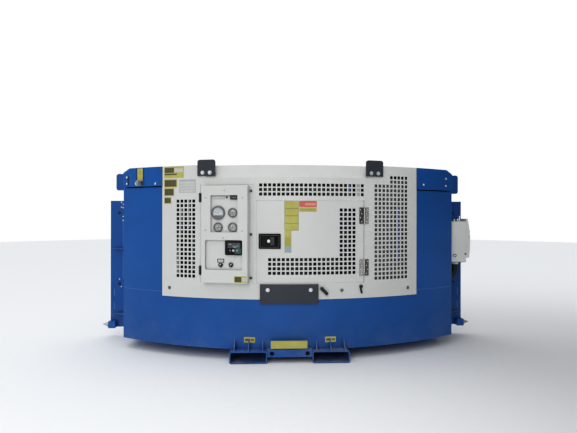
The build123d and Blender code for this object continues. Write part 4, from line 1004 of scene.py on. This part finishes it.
# %% [markdown]
# ## Gauges
# A gauge is a dial in a can, under glass, held by a ring. The ring is turned: a ring profile is pulled up and
# in, so that it has a thickness and a lip. The dial is a flat turned disc with tick marks laid round it by a
# loop, every fifth one longer. The big gauge shows a pale arch over a grey cover, the small ones grey dials
# in chromed rings, with glare on their glass.

# %% Gauge parts
PLATE_PROUD = 26.5 * MM
SEAM = 0.3 * MM
DIAL_PROUD = PLATE_PROUD + SEAM + 3.3 * MM
RIM_PROUD = PLATE_PROUD + SEAM + 6.5 * MM
TICKS_A_NUMBER = 5


def make_ring(name, outer, inner, height, lip):
    """A turned ring: a disc is pulled up, in and back down, and its two open ends are bridged."""
    bpy.ops.object.select_all(action="DESELECT")
    bpy.ops.mesh.primitive_circle_add(vertices=48, radius=outer, fill_type="NGON", enter_editmode=True)
    ring = open_piece(name)
    bpy.ops.mesh.extrude_region_move(TRANSFORM_OT_translate={"value": (0, 0, height - lip)})
    steps = ((outer, 0), (outer - lip, lip), (inner + lip, 0), (inner, -lip), (inner, lip - height))
    for (before, _), (radius, rise) in zip(steps, steps[1:]):
        bpy.ops.mesh.extrude_region_move(TRANSFORM_OT_translate={"value": (0, 0, rise)})
        bpy.ops.transform.resize(value=(radius / before, radius / before, 1), center_override=(0, 0, 0))
    bpy.ops.mesh.delete(type="FACE")
    mesh = bmesh.from_edit_mesh(ring.data)
    bpy.ops.mesh.select_all(action="DESELECT")
    foot = [face for face in mesh.faces if len(face.verts) > 4]
    bmesh.ops.delete(mesh, geom=foot, context="FACES_ONLY")
    bmesh.update_edit_mesh(ring.data)
    bpy.ops.mesh.select_mode(type="EDGE")
    bpy.ops.mesh.select_non_manifold()
    bpy.ops.mesh.bridge_edge_loops()
    return close_piece(ring, 40)


def tick_places(radius, first, last, count):
    """Matrices round a dial, in degrees from its top, counted clockwise."""
    for index in range(count):
        angle = first + (last - first) * index / (count - 1)
        yield index, Matrix.Rotation(radians(-angle), 4, "Z") @ Matrix.Translation((0, radius, 0))


def make_ticks(name, radius, first, last, count, long, short, width):
    ticks = []
    for index, place in tick_places(radius, first, last, count):
        length = short if index % TICKS_A_NUMBER else long
        tick = make_plate("tick", width, length, 0.1 * MM)
        tick.data.transform(place @ Matrix.Translation((0, -length / 2, 0)))
        ticks.append(tick)
    return join_pieces(name, ticks)


def make_number(text, size):
    """A plain number as a thin mesh."""
    bpy.ops.object.select_all(action="DESELECT")
    bpy.ops.object.text_add()
    number = bpy.context.object
    number.data.body = text
    number.data.size = size
    number.data.align_x = "CENTER"
    number.data.align_y = "CENTER"
    number.data.extrude = 0.04 * MM
    number.data.resolution_u = 3
    bpy.ops.object.convert(target="MESH")
    return bpy.context.object


def make_needle(length, angle):
    needle = make_plate("needle", 1.1 * MM, length, 0.4 * MM, corner=0.5 * MM, corner_steps=2)
    shifted(needle, 0, length * 0.36, 0.5 * MM)
    needle.data.transform(Matrix.Rotation(radians(-angle), 4, "Z"))
    hub = make_turned("hub", [(2.6 * MM, 0.1 * MM), (2.6 * MM, 1.1 * MM), (2.0 * MM, 1.4 * MM)], 16)
    return join_pieces("needle", [needle, hub])


# %% [markdown]
# Each gauge is put together at the origin, and all of its parts are then stood on the control pan. The cans
# are in the frame; dial, ticks, numbers, needle, ring and glass are added in front of them.

# %% The four gauges
GAUGES = (
    ("volts", -37.5, 819.5, 39.0, 0, 500, 6),
    ("pressure", 45.0, 819.5, 26.0, 0, 8, 5),
    ("water", -37.5, 739.7, 26.0, 40, 120, 5),
    ("fuel", 45.0, 739.7, 26.0, 0, 4, 5),
)
SWEEP = (-70.0, 70.0)
REST_ANGLE = 12
SMALL_REACH = 26.0
for name, x, z, reach, scale_low, scale_high, numbers in GAUGES:
    big = reach > SMALL_REACH
    inner = (reach - (10 if big else 4.2)) * MM
    face = make_turned(f"gauge_{name}_dial",
                       [(inner, 0), (inner, 0.4 * MM), (inner - 0.3 * MM, 0.5 * MM)], 48)
    ticks = make_ticks("ticks", inner * 0.88, *SWEEP, TICKS_A_NUMBER * (numbers - 1) + 1,
                       inner * 0.16, inner * 0.09, 0.5 * MM if big else 0.4 * MM)
    shifted(ticks, z=0.5 * MM)
    marks = [ticks]
    for index, place in tick_places(inner * 0.55, *SWEEP, numbers):
        value = scale_low + (scale_high - scale_low) * index // (numbers - 1)
        number = make_number(str(value), inner * (0.17 if big else 0.21))
        number.data.transform(Matrix.Translation(place.translation + Vector((0, 0, 0.55 * MM))))
        marks.append(number)
    marks = join_pieces(f"gauge_{name}_marks", marks)
    needle = make_needle(inner * 0.85, SWEEP[0] if big else REST_ANGLE)
    needle.name = f"gauge_{name}_needle"
    ring_inner = (reach - (10.5 if big else 4.5)) * MM
    ring = make_ring(f"gauge_{name}_ring", reach * MM, ring_inner, 3.2 * MM, 1.2 * MM)
    glass = make_turned(f"gauge_{name}_glass", [(inner, 0), (inner, 0.7 * MM), (inner * 0.8, 1.1 * MM),
                                                (inner * 0.4, 1.4 * MM)], 48, smooth_angle=60)
    for piece, lift, finish in (
        (face, DIAL_PROUD, dial_face if big else grey_dial),
        (marks, DIAL_PROUD, black_print if big else pale_print),
        (needle, DIAL_PROUD, black_print if big else needle_red),
        (ring, RIM_PROUD - 3.1 * MM, ring_grey if big else chrome),
        (glass, RIM_PROUD - 1.6 * MM, clear_lens),
    ):
        piece.data.transform(pan_matrix(x * MM, z * MM, lift))
        piece.visible_shadow = finish is not clear_lens
        dress(piece, finish, "control_panel")
cover_half = make_plate("gauge_volts_cover", 50 * MM, 17 * MM, 1.2 * MM, corner=6 * MM, edge=0.3 * MM)
cover_half.data.transform(pan_matrix(-37.5 * MM, 797.0 * MM, RIM_PROUD + 0.2 * MM))
dress(cover_half, ring_grey, "control_panel")
glares = []
for x, z, width, height, tilt in (
    (54, 826, 9, 5, 30), (45, 829.5, 13, 3.5, 0),
    (40, 747, 9, 6, -35), (52, 745, 7, 4, 40), (-41, 745, 12, 4, 15),
):
    spot = make_plate("glare", width * MM, height * MM, 0.05 * MM, corner=0.48 * height * MM)
    spot.data.transform(pan_matrix(x * MM, z * MM, RIM_PROUD - 0.15 * MM, tilt))
    glares.append(spot)
dress(join_pieces("gauge_glares", glares), glare, "control_panel")
print("gauges:", len(GAUGES))

# %% [markdown]
# ## The rest of the control panel
# The hour meter shows plain digits, and a lamp sits left of it. The controller has a screen, a green field
# and three buttons. The knobs have a white line, and the pan has small screws and plain labels. Flat pieces
# on the pan are laid by one function, as the labels on the bow are.

# %% Meter, controller, knobs and screws
def lay_on_pan(name, body, proud, fields, thick=0.15 * MM, corner=0.6):
    """Plates on the pan, each given as (x from, x to, z from, z to) in millimetres with its finish."""
    plates = []
    for index, ((x_low, x_high, z_low, z_high), finish) in enumerate(fields):
        plate = make_plate("field", (x_high - x_low) * MM, (z_high - z_low) * MM, thick, corner=corner * MM,
                           corner_steps=3)
        plate.data.transform(pan_matrix((x_low + x_high) / 2 * MM, (z_low + z_high) / 2 * MM,
                                        proud + HAIR + index * 0.02 * MM))
        plate.data.materials.append(finish)
        plates.append(plate)
    return dress(join_pieces(name, plates), None, body)


METER_PROUD = PLATE_PROUD + SEAM + 7.5 * MM
CONTROLLER_PROUD = PLATE_PROUD + SEAM + 14 * MM
KNOB_PROUD = PLATE_PROUD + SEAM + 16 * MM
PAN_PROUD = 38 * MM
KNOB_Z = 533.8 * MM
POINTER_TURN = -45

lay_on_pan("meter_window", "control_panel", METER_PROUD, [
    ((38, 66, 897.5, 910), screen_finish), ((60.5, 63.5, 900.5, 905), amber_digit),
])
digits = make_number("0482", 7 * MM)
digits.data.transform(pan_matrix(49 * MM, 903.7 * MM, METER_PROUD + 0.35 * MM))
dress(digits, grey_dial, "control_panel")
lamp = make_turned("panel_lamp", sized(MM, (5.2, 0), (5.2, 1.2), (4.4, 2.4), (2.4, 3.2)), 20)
lamp.data.transform(pan_matrix(11.5 * MM, 905.7 * MM, METER_PROUD))
dress(lamp, dull_lamp, "control_panel")
lay_on_pan("plate_labels", "control_panel", PLATE_PROUD, [
    ((-77, 0, 894, 914.5), strip_edge), ((-74, -3, 897, 909), pale_print),
    ((-43, -3, 545, 567), black_print), ((-38.5, -7.5, 549.5, 562.5), pale_print),
])

lay_on_pan("controller_face", "control_panel", CONTROLLER_PROUD, [
    ((21, 92, 627, 656), dim_screen),
    ((60, 96, 597, 626), green_field),
    ((27, 42, 646, 650), strip_edge), ((46, 84, 637, 640), strip_edge), ((52, 70, 630, 633), blue_film),
])
for name, x, z, radius, finish in (
    ("grey", 34.4, 614.1, 4.2, grey_dial),
    ("white", 52.7, 613.4, 6.0, white_button),
    ("blue", 73.3, 613.7, 5.2, blue_button),
):
    profile = sized(MM, (radius, 0), (radius, 1.0), (0.85 * radius, 1.7), (0.5 * radius, 1.9))
    button = make_turned(f"button_{name}", profile, 20)
    button.data.transform(pan_matrix(x * MM, z * MM, CONTROLLER_PROUD + 0.1 * MM))
    dress(button, finish, "control_panel")

for side, x in (("left", -22.9), ("right", 35.7)):
    line = make_plate("pointer", 4.0 * MM, 13.5 * MM, 0.4 * MM, corner=0.9 * MM)
    shifted(line, y=5.0 * MM)
    line.data.transform(pan_matrix(x * MM, KNOB_Z, KNOB_PROUD + HAIR, POINTER_TURN))
    dress(line, white_button, f"knob_{side}").name = f"knob_{side}_line"
    ring = make_ring(f"knob_{side}_ring", 16.5 * MM, 13.4 * MM, 1.2 * MM, 0.3 * MM)
    ring.data.transform(pan_matrix(x * MM, KNOB_Z, PLATE_PROUD + HAIR))
    dress(ring, pale_print, "control_panel")

screw_places = ((0, 943), (-105, 902), (101.5, 902), (-108, 723), (100, 721), (-6, 682))
pan_screws = copy_to("pan_screws", make_pan_head("screw", 3.4 * MM), [
    pan_matrix(x * MM, z * MM, PAN_PROUD, 20 * index) for index, (x, z) in enumerate(screw_places)
])
dress(pan_screws, dull_screw, "control_panel")
lay_on_pan("pan_label", "control_panel", PAN_PROUD, [
    ((57, 125, 438, 474), yellow_film), ((59, 97, 441, 470), olive_print), ((101, 122, 446, 467), pale_print),
])
print("screws on the pan:", len(screw_places))

# %% [markdown]
# ## Seals and seams
# White rubber strips fill the gaps round both doors, set back a little, so that no dark line shows there.
# Their white is brighter than the panels' paint, as painted light in the shaded gaps.
# They stay on the enclosure, but the strips beside the black hinges ride with the control door. Beads of
# paint lie where the wings meet the skirt, and a thin strip on either cap marks a fold; beads and strips are a
# lighter blue, a painted highlight. Two darker blue films on the left cap are painted shade.

# %% Seals, beads and folds, with painted light and shade
SEAL_PROUD = -1.3 * MM
SEAL_THICK = 1.2 * MM
# The strips are brighter than the panels: painted light in the gaps.
for name, body, areas in (
    ("control_seal", "enclosure",
     ((-516.5, -214.5, 978.1, 980), (-516.5, -214.5, 428, 429.9), (-213.4, -211.5, 431, 977))),
    ("control_hinge_seal", "control_panel",
     ((-518, -516.6, 431, 470), (-518, -516.6, 524, 879), (-518, -516.6, 933, 977))),
    ("access_seal", "enclosure",
     ((-196, 408, 889.1, 891), (-196, 408, 428, 429.9), (-198.9, -197.1, 431, 888))),
):
    strips = [make_film("strip", *area, SEAL_PROUD, SEAL_THICK, corner=0) for area in areas]
    dress(join_pieces(name, strips), lit_seal_rubber, body)

COVER_FACE = 2.75 * MM
# Beads and fold strips in the lighter blue: painted highlight.
lit_beads = [make_film("bead", *area, SKIRT_FACE, 0.7 * MM, corner=0.5 * MM)
         for area in ((-1056, -748, 364.9, 367.1), (748, 1056, 364.9, 367.1))]
lit_beads += [make_film("fold_highlight", *area, COVER_FACE, 0.3 * MM, corner=0)
          for area in ((1052.6, 1055.4, 972, 1047), (-1000, -997.5, 982, 1060))]
dress(join_pieces("lit_beads_and_folds", lit_beads), lit_blue, "enclosure")
# Darker blue films on the left cap: painted shade of a groove and of the strap's edges.
shades = [make_film("shade", *area, COVER_FACE, 0.15 * MM, corner=1.0 * MM)
          for area in ((-1027, -1013, 983, 1042), (-955, -894, 1012, 1087))]
dress(join_pieces("cover_shades", shades), shadow_blue, "enclosure")
print("seals set back by", round(-SEAL_PROUD / MM, 1), "mm")

# %% [markdown]
# ## Latches and hinges
# The dish of the paddle latch has a raised rim, a lighter black as a painted highlight, and a bright lock
# barrel with a keyway is let into the paddle; the keyway is a black film, painted shade of the slot. The
# toggle latch on the left cap has a strap, a lever and a bail. The leaves of the door's hinges are screwed on,
# and each quarter-turn screw has a slot.

# %% Latches and hinges
LATCH_S, LATCH_Z = -122 * MM, 663 * MM
LATCH_PROUD = 3 * MM + HAIR


def make_border(name, width, height, border, thick, corner):
    """A flat rounded frame: a plate's face is inset, its middle deleted and the rest extruded."""
    bpy.ops.object.select_all(action="DESELECT")
    bpy.ops.mesh.primitive_plane_add(size=1, enter_editmode=True)
    frame_piece = open_piece(name)
    bpy.ops.transform.resize(value=(width, height, 1))
    bpy.ops.mesh.bevel(offset=corner, segments=4, affect="VERTICES")
    bpy.ops.mesh.inset(thickness=border)
    bpy.ops.mesh.delete(type="FACE")
    bpy.ops.mesh.select_all(action="SELECT")
    bpy.ops.mesh.extrude_region_move(TRANSFORM_OT_translate={"value": (0, 0, thick)})
    return close_piece(frame_piece)


rim = make_border("latch_rim", 106 * MM, 68 * MM, 2.4 * MM, 1.2 * MM, 3 * MM)
rim.data.transform(bow_matrix(LATCH_S, LATCH_Z, LATCH_PROUD))
dress(rim, lit_black_rim, "door")
grip = make_plate("paddle_grip", 22 * MM, 46 * MM, 1.2 * MM, corner=3 * MM, edge=0.5 * MM)
grip.data.transform(bow_matrix(LATCH_S + 14 * MM, LATCH_Z, LATCH_PROUD))
dress(grip, black_grip, "paddle")
barrel_profile = sized(MM, (8.6, 0), (8.6, 1.6), (7.6, 2.4), (6.4, 2.5), (6.2, 2.1))
barrel = make_turned("lock_barrel", barrel_profile, 32)
# The keyway is a black film: painted shade of the slot.
keyway_shade = make_plate("keyway_shade", 1.6 * MM, 7.0 * MM, 0.2 * MM, corner=0.4 * MM)
barrel.data.materials.append(zinc)
keyway_shade.data.materials.append(black_print)
shifted(keyway_shade, z=2.15 * MM)
barrel = join_pieces("lock_barrel", [barrel, keyway_shade])
barrel.data.transform(bow_matrix(-127 * MM, 664 * MM, 5.05 * MM, 20))
dress(barrel, None, "paddle")

strap = make_film("toggle_strap", -946, -903, 1008, 1086, COVER_FACE + 0.2 * MM, 0.7 * MM, corner=2 * MM)
dress(strap, finishes["stainless"], "enclosure")
lever = make_plate("toggle_lever", 22 * MM, 27 * MM, 3 * MM, corner=5 * MM, edge=0.8 * MM)
lever.data.transform(bow_matrix(-914 * MM, 996 * MM, 16.1 * MM))
dress(lever, dark_zinc, "enclosure")
bail = make_ring("toggle_bail", 10.5 * MM, 6.4 * MM, 3.4 * MM, 1.2 * MM)
bail.data.transform(bow_matrix(-951 * MM, 995.6 * MM, 6.1 * MM))
dress(bail, zinc, "enclosure")

PIN_S = 413.0
LEAF_FACE = 2.35 * MM
for body, side in (("door", -1), ("enclosure", 1)):
    screws = copy_to(f"hinge_screws_{body}", make_pan_head("screw", 3.1 * MM), [
        bow_matrix((PIN_S + side * across) * MM, (middle + up) * MM, LEAF_FACE, 25 * up)
        for middle in (513, 805) for up, across in ((-34, 14), (-11, 22), (11, 14), (34, 22))
    ])
    dress(screws, zinc, body)
turn_slots = copy_to("turn_slots", make_plate("slot", 1.6 * MM, 9 * MM, 0.15 * MM, corner=0.4 * MM), [
    bow_matrix(-225.7 * MM, z * MM, 4.35 * MM, tilt)
    for z, tilt in ((459.6, 10), (700.6, 60), (941.7, 35))
])
dress(turn_slots, grey_dial, "control_panel")
print("latch at s", LATCH_S, "and z", LATCH_Z)

# %% [markdown]
# ## Posts and receptacle
# The photograph shows the posts' holes dark and their slots blue, so black caps close the holes and a blue
# tenon fills each slot. Both are guesses. The tenons and a bead down the left post are a lighter blue, a
# painted highlight. The receptacle box has a captive screw in a ring, a catch, two lid screws and studs on its
# top.

# %% Posts and receptacle
def facing_front(x, y, z, tilt=0.0):
    """Stands a piece on a face that looks to the front, all in millimetres."""
    return (Matrix.Translation(Vector((x, y, z)) * MM) @ Matrix.Rotation(radians(90), 4, "X")
            @ Matrix.Rotation(radians(tilt), 4, "Z"))


HOLE_X, SLOT_X, BEAD_X = 1135, 1172, -1112.5
post_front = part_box("upper_tabs")[0].y / MM
filling_foot = post_front + 7.5
screw_foot = post_front - 0.05
cap_profile = sized(MM, (10.7, 0), (10.7, 4.2), (9.4, 5.2), (6.4, 5.2), (5.6, 4.0))
hole_caps = copy_to("hole_caps", make_turned("cap", cap_profile, 24), [
    facing_front(side * HOLE_X, filling_foot, z) for side in (-1, 1) for z in (348, 823)
])
dress(hole_caps, finishes["black_plastic"], "enclosure")
# The tenons are the lighter blue: painted highlight.
tenon = make_plate("tenon", 8.6 * MM, 49.6 * MM, 6 * MM, corner=4.2 * MM, edge=0.5 * MM)
tenons = copy_to("slot_tenons", tenon, [
    facing_front(side * SLOT_X, filling_foot, z) for side in (-1, 1) for z in (197, 288)
])
dress(tenons, lit_blue, "enclosure")
post_screw_places = ((-1123.5, 894.6), (-1112, 880.5), (-1123.5, 863), (-1113, 858),
                     (-1112.5, 800), (-1112.5, 774), (-1136, 378), (-1124, 328))
post_screws = copy_to("post_screws", make_pan_head("screw", 4.8 * MM), [
    facing_front(x, screw_foot, z, 15 * index) for index, (x, z) in enumerate(post_screw_places)
])
dress(post_screws, zinc, "enclosure")
# A bead in the lighter blue down the left post: a painted highlight line.
post_highlight_bead = make_plate("post_highlight_bead", 4.5 * MM, 390 * MM, 1.2 * MM, corner=1.5 * MM, edge=0.4 * MM)
post_highlight_bead.data.transform(facing_front(BEAD_X, screw_foot, 575))
dress(post_highlight_bead, lit_blue, "enclosure")

box_low, box_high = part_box("receptacle_box")
box_front = box_low.y / MM - 0.05
CAPTIVE_X, CAPTIVE_Z = 1050, 554
captive = make_ring("captive_ring", 10.5 * MM, 7.0 * MM, 1.4 * MM, 0.4 * MM)
captive.data.transform(facing_front(CAPTIVE_X, box_front, CAPTIVE_Z))
dress(captive, finishes["rubber"], "enclosure")
for name, x, z, radius, finish in (
    ("captive_screw", CAPTIVE_X, CAPTIVE_Z, 6.0, zinc),
    ("lid_catch", 1117.5, 564, 5.2, black_print),
    ("lid_screw_upper", 1145.2, 710.5, 2.8, dark_zinc),
    ("lid_screw_lower", 1145.2, 672.3, 2.8, dark_zinc),
):
    screw = make_pan_head(name, radius * MM)
    screw.data.transform(facing_front(x, box_front, z, 30))
    dress(screw, finish, "enclosure")
foot_line = make_plate("box_foot_line", 96 * MM, 1.8 * MM, 0.2 * MM)
foot_line.data.transform(facing_front(1066, box_front, 512))
dress(foot_line, black_print, "enclosure")
studs = []
for x, y, height, radius in ((1089, 74, 34, 4.6), (1055, 74, 13, 6.0), (1077, 74, 15, 6.0)):
    profile = sized(MM, (1.5 * radius, 0), (1.5 * radius, 2), (radius, 2), (radius, height - 1),
                    (0.8 * radius, height))
    studs.append(shifted(make_turned("stud", profile, 16), x * MM, y * MM, box_high.z + HAIR))
dress(join_pieces("box_studs", studs), zinc, "enclosure")
print("screws on the left post:", len(post_screw_places), "and studs on the box:", len(studs))

# %% [markdown]
# ## Hoses behind the vents
# In the photograph some holes aren't black but pale, grey or blue, as if hoses ran close behind them. Each
# hose is a turned rod with a collar at both ends, laid between two places behind the sheet.

# %% Hoses
HOSE_PROUD = -12 * MM
COLLAR = 18 * MM
COLLAR_END = 19 * MM


def make_hose(s_low, z_low, s_high, z_high, radius):
    """A rod between two places on the bow, all in millimetres."""
    start, end = (bow_point(s * MM, z * MM, HOSE_PROUD) for s, z in ((s_low, z_low), (s_high, z_high)))
    length, reach = (end - start).length, radius * MM
    collar_reach = 1.2 * reach
    hose = make_turned("hose", [(collar_reach, 0), (collar_reach, COLLAR), (reach, COLLAR_END),
                                (reach, length - COLLAR_END), (collar_reach, length - COLLAR),
                                (collar_reach, length)], 20)
    turn = (end - start).to_track_quat("Z", "Y").to_matrix().to_4x4()
    hose.data.transform(Matrix.Translation(start) @ turn)
    return hose


for name, finish, runs in (
    ("pale_hoses", pale_hose, ((-597, 735, -597, 912, 7), (380, 900, 380, 1006, 9))),
    ("grey_hoses", grey_hose, ((-668, 470, -641, 850, 9), (-572, 500, -572, 700, 6))),
    ("blue_hoses", blue_hose, ((326, 900, 326, 1006, 8), (636, 560, 636, 860, 8))),
):
    dress(join_pieces(name, [make_hose(*run) for run in runs]), finish, "enclosure")
print("hoses lie", round(-HOSE_PROUD / MM), "mm behind the sheet's outer face")
